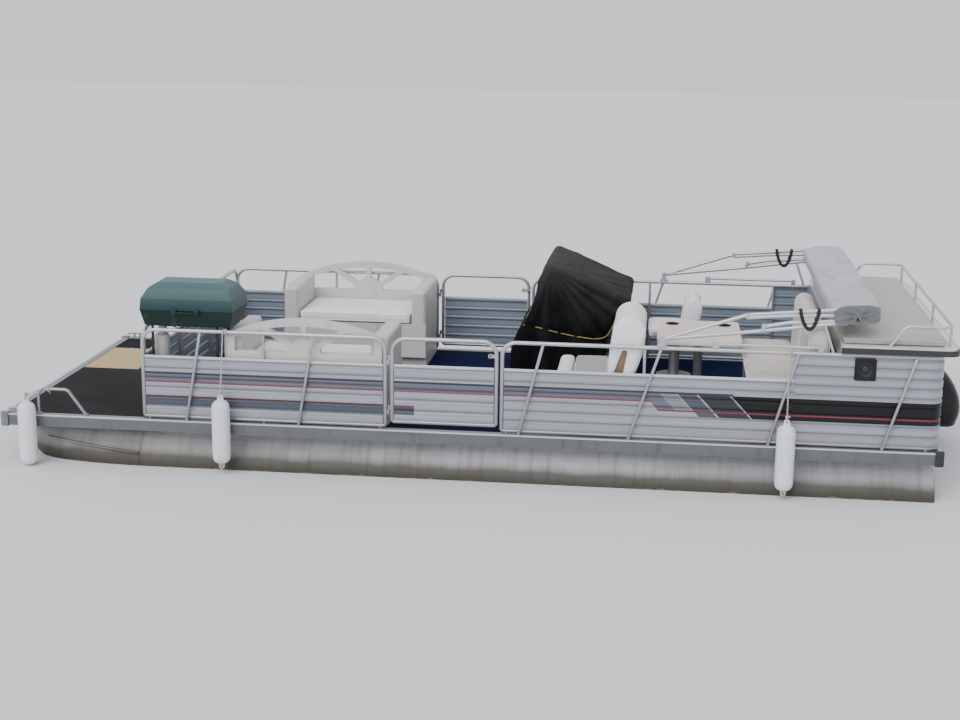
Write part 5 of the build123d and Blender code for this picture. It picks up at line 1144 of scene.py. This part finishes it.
# each ring of the sleeve runs once round the section, from one side of the zip under it to the other
ROUND = 56
SLICES = 150
bm = bmesh.new()
rings = []
for cross in range(SLICES + 1):
    share = -1.0 + 2.0 * cross / SLICES
    across = share * HALF_BOOT
    end = 1.0 - abs(share)
    # the closed ends are drawn in over their last centimetres
    drawn = 1.0 - 0.045 * math.exp(-end * 55.0)
    middle = 1.0 - share * share
    ring = []
    for turn in range(ROUND + 1):
        angle = -math.pi / 2 + 0.008 + (math.tau - 0.016) * turn / ROUND
        ex, ez = -math.cos(angle), math.sin(angle)
        power = 2.0 / BOOT_SQUARENESS
        along_arms = math.copysign(abs(ex) ** power, ex) * BOOT_HALF_LONG
        lift = math.copysign(abs(ez) ** power, ez) * BOOT_HALF_TALL
        # the aft edge bellies out between the bows and the top sags a little over them
        if along_arms > 0:
            along_arms *= 1.0 + 0.05 * middle
        lift += 0.004 * middle if ez > 0 else 0.0
        spot = Vector((along_arms * 9.0, across * 2.4, lift * 9.0))
        ripple = 0.007 * noise.noise(spot) + 0.005 * noise.noise(spot * 2.7)
        ripple += 0.006 * math.exp(-end * 9.0) * math.sin(angle * 5.0 + across * 26.0)
        # long creases where the bows lie under the cloth
        for bow_place in (-0.055, 0.030, 0.095):
            if ez > 0:
                ripple += 0.004 * math.exp(-((along_arms - bow_place) / 0.012) ** 2)
        # cross folds slant over the top
        ripple -= 0.007 * max(0.0, math.sin(across * 11.0 + along_arms * 14.0)) ** 6
        fx = along_arms * (drawn + ripple * 3.0)
        fz = lift * (drawn + ripple / BOOT_HALF_TALL * 0.5)
        ring.append(bm.verts.new((BOOT_CENTRE[0] + fx * math.cos(BOOT_TILT) - fz * math.sin(BOOT_TILT), across,
                                  BOOT_CENTRE[1] + fx * math.sin(BOOT_TILT) + fz * math.cos(BOOT_TILT))))
    rings.append(ring)
skin(bm, rings, closed=False)
for ring, outward in ((rings[0], -1), (rings[-1], 1)):
    inner = ring
    centre_of = sum((v.co for v in ring), Vector()) / len(ring)
    for share in (0.82, 0.55, 0.25):
        nearer = [bm.verts.new(centre_of + (v.co - centre_of) * share
                               + Vector((0, outward * 0.004 * (1 - share) * (1 + math.sin(k * 1.7)), 0)))
                  for k, v in enumerate(ring)]
        skin(bm, (inner, nearer), closed=False)
        inner = nearer
    bm.faces.new(inner)
bmesh.ops.recalc_face_normals(bm, faces=bm.faces)
boot_area = sum(face.calc_area() for face in bm.faces)
boot = make_piece("canopy_sleeve", bm, "boot_acrylic", "canopy", sharp=75)
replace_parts(boot, "canopy_boot")

# a hem stands round each end of the sleeve
for label, cross in (("port", 3), ("starboard", SLICES - 3)):
    ring = [boot.data.vertices[cross * (ROUND + 1) + turn].co for turn in range(ROUND)]
    round_line("boot_hem_" + label, [ring], 0.0022, "boot_acrylic", "canopy",
                           closed=True)

tree, shader, place = new_finish("black_webbing", (0.012, 0.012, 0.013), 0.75)
ribbing = add_node(tree, "TexWave", {"Vector": place, "Scale": 120.0}, bands_direction="Z").outputs["Fac"]
paint(tree, shader, mix_paint(tree, ribbing, (0.007, 0.007, 0.008), (0.025, 0.025, 0.027)))
roughen(tree, shader, ribbing, 0.0008, 0.8)
# strap's line along the arms: distance aft of the pivot and rise over the fence, from one turn round the top bow
# down under the bundle and up to the next
STRAP_LINE = ((0.843, 0.268), (0.846, 0.240), (0.854, 0.212), (0.866, 0.182), (0.880, 0.158), (0.893, 0.146),
              (0.904, 0.143), (0.914, 0.147), (0.925, 0.160), (0.936, 0.184), (0.946, 0.214), (0.952, 0.242),
              (0.955, 0.272))
STRAP_WIDTH = 0.022
STRAP_THICKNESS = 0.002
ARM_REACH = 0.0155
# a turn of webbing lies round the arms at each end of the hanging stretch: half its width, and its two places
TURN_HALF = 0.008
STRAP_TURNS = ((0.845, 0.252), (0.954, 0.256))
for label, side in (("port", -1), ("starboard", 1)):
    bm = bmesh.new()
    # one run of the strap lies outboard of the arms and one inboard
    for stand in (-0.0165, 0.0165):
        rows = []
        for count, (aft, rise_over) in enumerate(STRAP_LINE):
            before = STRAP_LINE[max(0, count - 1)]
            later = STRAP_LINE[min(len(STRAP_LINE) - 1, count + 1)]
            ahead = Vector((later[0] - before[0], 0, later[1] - before[1])).normalized()
            flat = Vector((ahead.z, 0, -ahead.x)) * STRAP_WIDTH / 2
            foot = Vector((PIVOT_X + aft, side * FENCE_LINE + stand, RAIL_TOP + rise_over))
            out = Vector((0, 0.0014, 0))
            rows.append([bm.verts.new(foot + corner) for corner in (flat - out, flat + out, -flat + out,
                                                                    -flat - out)])
        skin(bm, rows, caps="both")
    for aft, rise_over in STRAP_TURNS:
        centre_of = Vector((PIVOT_X + aft, side * FENCE_LINE, RAIL_TOP + rise_over))
        inside, outside = ARM_REACH, ARM_REACH + STRAP_THICKNESS
        loop = []
        for turn in range(20):
            angle = math.tau * turn / 20
            out = Vector((0, math.cos(angle), math.sin(angle)))
            loop.append([bm.verts.new(centre_of + out * reach + Vector((half, 0, 0))) for reach, half in (
                (inside, -TURN_HALF), (outside, -TURN_HALF), (outside, TURN_HALF), (inside, TURN_HALF))])
        skin(bm, loop + loop[:1])
    bmesh.ops.recalc_face_normals(bm, faces=bm.faces)
    make_piece("arm_strap_" + label, bm, "black_webbing", "canopy")

# Grill: a pressed steel gas grill with a faceted lid, hinged on its outboard side, in a worn dark green hammered
# paint. It stands on a post with a foot plate and takes its gas from a small grey bottle.
LID_FOOT = 0.730
tree, shader, place = new_finish("grill_enamel", (0.06, 0.12, 0.12), 0.42)
z = along(tree, place, "Z")
shaded_green = clouded(tree, place, (0.015, 0.040, 0.041), (0.024, 0.056, 0.058), 5.0, detail=6.0)
lit_green = clouded(tree, place, (0.056, 0.124, 0.124), (0.082, 0.152, 0.154), 5.0, detail=6.0)
# painted light and shade: the top of the lid is painted lighter and its lower facets darker, and the body under
# the lid is painted darker still
green = mix_paint(tree, between(tree, z, DECK_EDGE + 0.745, DECK_EDGE + 0.90), shaded_green, lit_green)
body_shade = clouded(tree, place, (0.007, 0.016, 0.015), (0.014, 0.030, 0.028), 6.0)
under_lid = between(tree, z, DECK_EDGE + LID_FOOT + 0.0005, DECK_EDGE + LID_FOOT - 0.0005)
green = mix_paint(tree, under_lid, green, body_shade)
# the paint has faded paler in patches
paler_share = spots(tree, place, 0.60, 0.76, 0.5, 12.0, (1.0, 1.0, 0.5), 6.0)
paint(tree, shader, mix_paint(tree, paler_share, green, mix_paint(tree, 0.55, green, (0.10, 0.15, 0.15))))
shader.inputs["Specular IOR Level"].default_value = 0.18
hammered = add_node(tree, "TexVoronoi", {"Vector": place, "Scale": 190.0}, feature="SMOOTH_F1").outputs["Distance"]
roughen(tree, shader, hammered, 0.0010, 0.30)
dress("grill_enamel", "grill_body", "grill_lid")
tree, shader, place = new_finish("black_steel", (0.02, 0.02, 0.021), 0.5, 0.3)
rust = spots(tree, place, 0.60, 0.72, 0.8, 16.0, detail=7.0)
paint(tree, shader, mix_paint(tree, rust, clouded(tree, place, (0.014, 0.014, 0.015), (0.04, 0.04, 0.042), 6.0),
                              (0.11, 0.05, 0.025)))
dress("black_steel", "grill_stand")
tree, shader, place = new_finish("bottle_enamel", (0.52, 0.50, 0.51), 0.4)
enamel = clouded(tree, place, (0.44, 0.42, 0.43), (0.58, 0.56, 0.57), 9.0, detail=5.0)
chips = between(tree, mottle(tree, place, 34.0, detail=6.0), 0.66, 0.72)
paint(tree, shader, mix_paint(tree, chips, enamel, (0.14, 0.075, 0.045)))
dress("bottle_enamel", "gas_bottle")

# the lid's handle is turned wood on two bent steel posts
body_low, body_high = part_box("grill_body")
grill_mid = (body_low.x + body_high.x) / 2
tree, shader, place = new_finish("handle_wood", (0.10, 0.05, 0.025), 0.55)
paint(tree, shader, clouded(tree, place, (0.055, 0.027, 0.013), (0.16, 0.085, 0.042), 18.0, (0.3, 5.0, 5.0), 5.0))
LID_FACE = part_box("grill_lid")[1].y
HANDLE_LENGTH = 0.190
HANDLE_LEVEL = 0.782
# share of the length along the turned handle, and radius
HANDLE_TURNING = ((0.0, 0.006), (0.02, 0.0095), (0.10, 0.0125), (0.30, 0.0110), (0.50, 0.0135), (0.70, 0.0110),
                  (0.90, 0.0125), (0.98, 0.0095), (1.0, 0.006))
bm = bmesh.new()
turned(bm, (grill_mid, LID_FACE + 0.0265, DECK_EDGE + HANDLE_LEVEL),
       [(radius, (share - 0.5) * HANDLE_LENGTH) for share, radius in HANDLE_TURNING], 16, 0, "both")
bmesh.ops.recalc_face_normals(bm, faces=bm.faces)
make_piece("lid_handle", bm, "handle_wood", "lid")
bm = bmesh.new()
# the posts' line: distance from the lid's face, height and radius
POST_LINE = ((-0.012, 0.768, 0.006), (0.012, 0.772, 0.0045), (0.026, 0.782, 0.0040))
for dx in (-0.088, 0.088):
    rings = []
    for out, level, radius in POST_LINE:
        rings.append([bm.verts.new((grill_mid + dx + radius * math.cos(math.tau * turn / 10), LID_FACE + out,
                                    DECK_EDGE + level + radius * math.sin(math.tau * turn / 10)))
                      for turn in range(10)])
    skin(bm, rings, caps="both")
bmesh.ops.recalc_face_normals(bm, faces=bm.faces)
make_piece("lid_handle_posts", bm, "black_steel", "lid")

# three control knobs stand in a row on the body's cockpit side, over a bare control plate
# radius and distance from the body's face
KNOB_SECTION = ((0.0185, -0.0002), (0.0185, 0.0040), (0.0150, 0.0060), (0.0135, 0.0150), (0.0120, 0.0165),
                (0.0004, 0.0165))
KNOB_LEVEL = 0.676


def knob_grip(radius, out, turn):
    # every third point of the knob's barrel is drawn in for the fingers
    return 0.95 if turn % 3 == 0 and out > 0.005 else 1.0


bm = bmesh.new()
for dx in (-0.15, 0.0, 0.15):
    turned(bm, (grill_mid + dx, body_high.y, DECK_EDGE + KNOB_LEVEL), KNOB_SECTION, 36, 1, "last", knob_grip)
bmesh.ops.recalc_face_normals(bm, faces=bm.faces)
make_piece("grill_knobs", bm, "speaker_moulding")

# the bottle's valve, with a ribbed handwheel, and the short red pipe to the burner
bottle_low, bottle_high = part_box("gas_bottle")
bottle_x, bottle_y, _ = (bottle_low + bottle_high) / 2
tree, shader, place = new_finish("valve_brass", (0.42, 0.30, 0.12), 0.35, 0.9)
paint(tree, shader, clouded(tree, place, (0.26, 0.18, 0.08), (0.52, 0.38, 0.17), 40.0, detail=5.0))
# radius and height over the bottle's top, up the valve's stem and round its wheel
WHEEL_SECTION = ((0.006, -0.030), (0.010, -0.028), (0.010, -0.014), (0.006, -0.012), (0.006, -0.008),
                 (0.017, -0.008), (0.019, -0.005), (0.019, 0.002), (0.016, 0.004), (0.0005, 0.004))


def wheel_grip(radius, out, turn):
    # every fourth point of the wheel's rim is a notch
    return 0.90 if radius > 0.015 and turn % 4 == 0 else 1.0


bm = bmesh.new()
turned(bm, (bottle_x, bottle_y, bottle_high.z), WHEEL_SECTION, 24, 2, "last", wheel_grip)
bmesh.ops.recalc_face_normals(bm, faces=bm.faces)
make_piece("bottle_valve", bm, "valve_brass")
tree, shader, place = new_finish("gas_pipe_paint", (0.20, 0.045, 0.04), 0.5)
paint(tree, shader, clouded(tree, place, (0.14, 0.03, 0.03), (0.26, 0.07, 0.06), 30.0))
# the pipe's line: distance aft and to starboard of the bottle's middle, and height
outlet, burner = bottle_high.z - 0.021, body_low.z
pipe_line = [(bottle_x + aft, bottle_y + across, level) for aft, across, level in (
    (0.008, 0.0, outlet), (0.055, 0.0, outlet), (0.080, 0.0, outlet), (0.120, -0.004, bottle_high.z - 0.045),
    (0.170, 0.010, bottle_high.z - 0.012), (0.200, 0.012, burner - 0.03), (0.200, 0.012, burner + 0.002))]
round_line("gas_pipe", [pipe_line], 0.0045, "gas_pipe_paint", kind="NURBS", sides=3, steps=8)

# Motor: a black outboard of 40 to 50 horsepower. A moulded cowl sits on a cast leg with a three-blade propeller,
# and a clamp and a swivel carry it on the pod.
tree, shader, place = new_finish("cowl_gloss", (0.010, 0.010, 0.012), 0.18)
black = clouded(tree, place, (0.004, 0.005, 0.006), (0.010, 0.011, 0.012), 6.0, detail=5.0)
dull = spots(tree, place, 0.56, 0.75, 0.5, 10.0, (1.0, 1.0, 0.5), 6.0)
paint(tree, shader, mix_paint(tree, dull, black, (0.024, 0.025, 0.026)))
gloss(tree, shader, drift(tree, place, 0.16, 0.34, 12.0))
shader.inputs["Specular IOR Level"].default_value = 0.35
dress("cowl_gloss", "motor_cowl")
tree, shader, place = new_finish("leg_paint", (0.014, 0.014, 0.015), 0.42)
z = along(tree, place, "Z")
cast = clouded(tree, place, (0.009, 0.009, 0.010), (0.03, 0.03, 0.031), 8.0, detail=6.0)
# silt darkens the leg towards the water
low_darkening = between(tree, reckon(tree, "ADD", z, drift(tree, place, -0.03, 0.03, 12.0)), 0.02, -0.10, 0.0, 0.55)
paint(tree, shader, mix_paint(tree, low_darkening, cast, (0.085, 0.08, 0.055)))
roughen(tree, shader, mottle(tree, place, 240.0), 0.0006, 0.4)
dress("leg_paint", "motor_leg", "motor_swivel", "motor_clamp")
tree, shader, place = new_finish("blade_metal", (0.16, 0.16, 0.165), 0.35, 0.8)
paint(tree, shader, clouded(tree, place, (0.07, 0.07, 0.068), (0.28, 0.28, 0.28), 22.0, detail=6.0))
dress("blade_metal", "propeller")

cowl_low, cowl_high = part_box("motor_cowl")


def cowl_loop(level, proud):
    # the cowl's own outline at a level, pushed out a little
    bm = solid_of("motor_cowl")
    cut = bmesh.ops.bisect_plane(bm, geom=bm.verts[:] + bm.edges[:] + bm.faces[:], plane_co=(0, 0, level),
                                 plane_no=(0, 0, 1))["geom_cut"]
    corners = [e.co.copy() for e in cut if isinstance(e, bmesh.types.BMVert)]
    bm.free()
    centre_of = sum(corners, Vector()) / len(corners)
    corners.sort(key=lambda co: math.atan2(co.y - centre_of.y, co.x - centre_of.x))
    return [co + (co - centre_of).normalized() * proud for co in corners]


tree, shader, place = new_finish("cowl_seal", (0.02, 0.02, 0.021), 0.7)
paint(tree, shader, clouded(tree, place, (0.014, 0.014, 0.015), (0.035, 0.035, 0.036), 30.0))
# share of the cowl's height, radius and finish of the rubber seal at its foot and of the lip at its shoulder
for label, share, radius, finish_name in (("seal", 0.035, 0.0045, "cowl_seal"),
                                          ("shoulder", 0.72, 0.0022, "cowl_gloss")):
    loop = cowl_loop(cowl_low.z + share * (cowl_high.z - cowl_low.z), 0.0005)
    round_line("cowl_" + label, [loop], radius, finish_name, "outboard", closed=True)

# air slots at the cowl's back and a catch under them
bm = bmesh.new()
for count in range(5):
    # each slot is a little shorter than the one below and set further in, as the cowl curves away
    level = cowl_low.z + 0.235 + count * 0.016
    vent = bmesh.ops.create_cube(bm, size=1.0)["verts"]
    bmesh.ops.scale(bm, vec=(0.010, 0.110 - 0.006 * count, 0.005), verts=vent)
    bmesh.ops.translate(bm, vec=(cowl_high.x - 0.036 - 0.012 * count * count * 0.22, 0, level), verts=vent)
catch = bmesh.ops.create_cube(bm, size=1.0)["verts"]
bmesh.ops.scale(bm, vec=(0.012, 0.040, 0.030), verts=catch)
bmesh.ops.translate(bm, vec=(cowl_high.x - 0.026, 0, cowl_low.z + 0.030), verts=catch)
bmesh.ops.bevel(bm, geom=list(bm.edges), offset=0.0016, segments=2, affect="EDGES")
make_piece("cowl_vents", bm, "cowl_seal", "outboard")

# four hexagon bolts hold the clamp to the pod
BOLT_RADIUS = 0.011
bm = bmesh.new()
clamp_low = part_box("motor_clamp")[0]
for side in (-1, 1):
    for level in (0.16, 0.24):
        head = bmesh.ops.create_cone(bm, segments=6, radius1=BOLT_RADIUS, radius2=BOLT_RADIUS, depth=0.008,
                                     cap_ends=True)["verts"]
        bmesh.ops.rotate(bm, matrix=Matrix.Rotation(math.pi / 2, 3, "Y"), verts=head)
        bmesh.ops.translate(bm, vec=(clamp_low.x - 0.003, side * 0.085, clamp_low.z + level), verts=head)
bmesh.ops.bevel(bm, geom=list(bm.edges), offset=0.001, segments=1, affect="EDGES")
make_piece("clamp_bolts", bm, "blade_metal")

# Fenders: white blown vinyl, 118 mm thick and 0.43 m long, with ribbed ends and an eye moulded at each end. Each
# hangs by laid polyester rope, 8 mm thick, hitched over a rail and knotted at the eye.
tree, shader, place = new_finish("fender_vinyl", (0.76, 0.77, 0.80), 0.32)
white = clouded(tree, place, (0.68, 0.69, 0.72), (0.80, 0.81, 0.84), 5.0, detail=5.0)
scuff = spots(tree, place, 0.60, 0.76, 0.55, 14.0, (1.0, 1.0, 0.4), 7.0)
paint(tree, shader, mix_paint(tree, scuff, white, (0.42, 0.41, 0.39)))
roughen(tree, shader, mottle(tree, place, 90.0), 0.0006, 0.2)
tree, shader, place = new_finish("fender_eye_vinyl", (0.48, 0.45, 0.36), 0.45)
paint(tree, shader, clouded(tree, place, (0.36, 0.33, 0.25), (0.56, 0.53, 0.44), 30.0))
tree, shader, place = new_finish("laid_rope", (0.52, 0.51, 0.47), 0.8)
strands = add_node(tree, "TexWave", {"Vector": place, "Scale": 75.0, "Distortion": 0.6},
                   bands_direction="DIAGONAL").outputs["Fac"]
paint(tree, shader, mix_paint(tree, strands, (0.30, 0.29, 0.26), (0.60, 0.59, 0.55)))
roughen(tree, shader, strands, 0.0012, 0.9)

FENDER_RADIUS = 0.059
FENDER_Y = -(TRIM_FACE + FENDER_RADIUS + 0.0003)
FENDER_HALF = 0.2125
LUG_EYE = 0.020
HITCH_POINTS = 27
FIST_POINTS = 22
# half length from the middle and radius, down the fender's side from its shoulder to its end plate
SHOULDER = ((0.1550, 0.0590), (0.1640, 0.0586), (0.1720, 0.0574), (0.1735, 0.0560), (0.1760, 0.0568),
            (0.1800, 0.0558), (0.1815, 0.0542), (0.1840, 0.0546), (0.1880, 0.0520), (0.1950, 0.0478),
            (0.2010, 0.0420), (0.2060, 0.0345), (0.2095, 0.0260), (0.2115, 0.0190), (0.2120, 0.0005))


def fender_body(name, place_x, middle_z):
    bm = bmesh.new()
    profile = [(radius, -out) for out, radius in reversed(SHOULDER)]
    profile += [(FENDER_RADIUS, 0.0)] + [(radius, out) for out, radius in SHOULDER]
    turned(bm, (place_x, FENDER_Y, middle_z), profile, 48, 2, "both")
    bmesh.ops.recalc_face_normals(bm, faces=bm.faces)
    return make_piece(name, bm, "fender_vinyl", sharp=60)


def fender_eye(name, place_x, middle_z, end, finish_name):
    # a flat lug with rounded cheeks and a hole that looks outboard
    bm = bmesh.new()
    eye_z = middle_z + end * (FENDER_HALF + LUG_EYE)
    # distance from the hole, along the boat and away from the fender
    outline = [(-0.021, -0.024), (-0.019, -0.010)]
    outline += [(0.018 * math.cos(math.radians(a)), 0.018 * math.sin(math.radians(a))) for a in range(170, 0, -20)]
    outline += [(0.019, -0.010), (0.021, -0.024)]
    half_thick, edge_thick = 0.0095, 0.0075
    hole = 0.0062
    plates = []
    for share, thick in ((0.80, half_thick), (1.0, edge_thick), (1.0, -edge_thick), (0.80, -half_thick)):
        plates.append([bm.verts.new((place_x + px * share, FENDER_Y - thick,
                                     eye_z + end * pz * (share if pz > 0 else 1))) for px, pz in outline])
    skin(bm, plates, closed=False)
    cheeks = []
    for thick in (half_thick, -half_thick):
        cheeks.append([bm.verts.new((place_x + hole * math.cos(math.tau * turn / 16), FENDER_Y - thick,
                                     eye_z + hole * math.sin(math.tau * turn / 16))) for turn in range(16)])
    skin(bm, cheeks)
    for ring, plate in ((cheeks[0], plates[0]), (cheeks[1], plates[3])):
        edges = []
        for loop in (ring, plate):
            for i in range(len(loop)):
                a, b = loop[i], loop[(i + 1) % len(loop)]
                edges.append(bm.edges.get((a, b)) or bm.edges.new((a, b)))
        bmesh.ops.triangle_fill(bm, use_beauty=True, use_dissolve=False, edges=edges)
    bmesh.ops.recalc_face_normals(bm, faces=bm.faces)
    return make_piece(name, bm, finish_name)


ROPE_DIAMETER = 0.008


def rope_run(name, points, sides=3, steps=4):
    return round_line(name, [points], ROPE_DIAMETER / 2, "laid_rope", kind="NURBS", sides=sides,
                      steps=steps)


# name, the fender's place and middle height, the rope's route from its hitch to the eye, and the centre and radius
# of the rail or hoop that it hangs from
FENDERS = [
    ("bow", -2.848, 0.220, [(-2.740, -1.1747, 0.488), (-2.740, -1.1747, 0.5163), (-2.740, -1.1981, 0.5163),
                            (-2.848, -1.2783, 0.4746)], (-1.189, 0.502, 0.010)),
    ("middle", -1.536, 0.287, [(-1.534, -1.1573, 0.9133), (-1.534, -1.1573, 0.9443), (-1.534, -1.1895, 0.9443),
                               (-1.536, -1.2783, 0.5388)], (-1.1743, 0.9273, 0.0127)),
    ("aft", 2.077, 0.278, [(2.079, -1.1573, 0.9133), (2.079, -1.1573, 0.9443), (2.079, -1.1896, 0.9443),
                           (2.077, -1.2783, 0.5298)], (-1.1743, 0.9273, 0.0127)),
]
for label, place_x, middle_z, route, (rail_y, rail_z, rail_r) in FENDERS:
    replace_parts(fender_body("fender_" + label, place_x, middle_z), "fenders")
    fender_eye(f"fender_{label}_top_eye", place_x, middle_z, 1, "fender_vinyl")
    fender_eye(f"fender_{label}_foot_eye", place_x, middle_z, -1, "fender_eye_vinyl")
    # two turns of the hitch lie beside the rope on the rail, with the tail tucked under them
    tie_x = route[0][0]
    wrap = rail_r + ROPE_DIAMETER / 2 + 0.0006
    hitch = []
    for step in range(HITCH_POINTS):
        angle = math.radians(-70 + step * 30)
        hitch.append((tie_x + 0.0055 + 0.0175 * step / (HITCH_POINTS - 1), rail_y + wrap * math.cos(angle),
                      rail_z + wrap * math.sin(angle)))
    hitch.append((tie_x + 0.018, rail_y + wrap * 1.3, rail_z - 0.012))
    hitch.append((tie_x + 0.014, rail_y + wrap * 1.1, rail_z - 0.034))
    rope_run(f"rope_{label}_hitch", hitch)
    # the knot under the rope's end: a loop through the eye and a fist of two turns over it
    eye_z = middle_z + FENDER_HALF + LUG_EYE
    top_z = route[-1][2]
    eye_loop = [(place_x + dx, FENDER_Y + dy, level) for dx, dy, level in (
        (0.0, 0.0, top_z + 0.002), (-0.004, -0.012, top_z - 0.006), (-0.002, -0.0155, eye_z + 0.010),
        (0.0, -0.010, eye_z), (0.0, 0.0, eye_z), (0.0, 0.010, eye_z), (0.002, 0.0155, eye_z + 0.010),
        (0.004, 0.012, top_z - 0.006), (0.0, 0.0, top_z + 0.004))]
    rope_run(f"rope_{label}_eye", eye_loop)
    fist = []
    for step in range(FIST_POINTS):
        angle = math.tau * step / 9
        fist.append((place_x + 0.0085 * math.cos(angle), FENDER_Y + 0.0085 * math.sin(angle),
                     top_z + 0.004 + 0.0165 * step / (FIST_POINTS - 1)))
    fist.append((place_x + 0.020, FENDER_Y - 0.006, top_z + 0.012))
    rope_run(f"rope_{label}_knot", fist)
    if label != "bow":
        # one more point soon after the rail keeps the long fall straight
        fall = Vector(route[3]) - Vector(route[2])
        share = 0.048 / fall.length
        route.insert(3, tuple(a + (b - a) * share for a, b in zip(route[2], route[3])))
    rope = rope_run(f"rope_{label}_cord", route, 4, 12)
    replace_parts(rope, "rope_" + label)

# Stage: a pale floor stands for still water at the waterline, under a broad soft light that comes from over the
# bow and the camera's side, and a pale even sky.
FLOOR_HALF = 40
new_finish("floor_paint", (0.70, 0.71, 0.72), 0.9)
floor_mesh = bpy.data.meshes.new("floor")
floor_corners = [(-FLOOR_HALF, -FLOOR_HALF, 0), (FLOOR_HALF, -FLOOR_HALF, 0), (FLOOR_HALF, FLOOR_HALF, 0),
                 (-FLOOR_HALF, FLOOR_HALF, 0)]
floor_mesh.from_pydata(floor_corners, [], [(0, 1, 2, 3)])
floor_mesh.materials.append(bpy.data.materials["floor_paint"])
set_out("floor", floor_mesh)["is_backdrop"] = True
sun = set_out("sun", bpy.data.lights.new("sun", "SUN"))
sun.data.energy = 2.3
sun.data.angle = 0.9
sun.rotation_euler = (math.radians(42), math.radians(-24), 0.0)
world = bpy.data.worlds.new("studio")
bpy.context.scene.world = world
world.use_nodes = True
world.node_tree.nodes["Background"].inputs[0].default_value = (0.92, 0.94, 1.0, 1)
world.node_tree.nodes["Background"].inputs[1].default_value = 1.0

# The camera stands where the photograph was taken, 11 m off the port side and 3.1 m over the water. Its yaw, pitch
# and roll come from the deck's edge, the rails and the fence posts in the photograph.
CAMERA_PLACE = (1.2735, -10.9585, 3.1037)
CAMERA_YAW = 0.1153
CAMERA_PITCH = 0.2291
CAMERA_ROLL = 0.012
level_look = math.cos(CAMERA_PITCH)
look = Vector((-math.sin(CAMERA_YAW) * level_look, math.cos(CAMERA_YAW) * level_look, -math.sin(CAMERA_PITCH)))
level_right = Vector((math.cos(CAMERA_YAW), math.sin(CAMERA_YAW), 0.0))
level_up = level_right.cross(look)
camera_right = math.cos(CAMERA_ROLL) * level_right + math.sin(CAMERA_ROLL) * level_up
camera_up = math.cos(CAMERA_ROLL) * level_up - math.sin(CAMERA_ROLL) * level_right
camera = set_out("camera", bpy.data.cameras.new("camera"))
camera.data.lens = 59.52
camera.data.sensor_width = 36.0
camera.matrix_world = Matrix((
    (camera_right.x, camera_up.x, -look.x, CAMERA_PLACE[0]),
    (camera_right.y, camera_up.y, -look.y, CAMERA_PLACE[1]),
    (camera_right.z, camera_up.z, -look.z, CAMERA_PLACE[2]),
    (0.0, 0.0, 0.0, 1.0)))
bpy.context.scene.camera = camera

low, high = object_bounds()
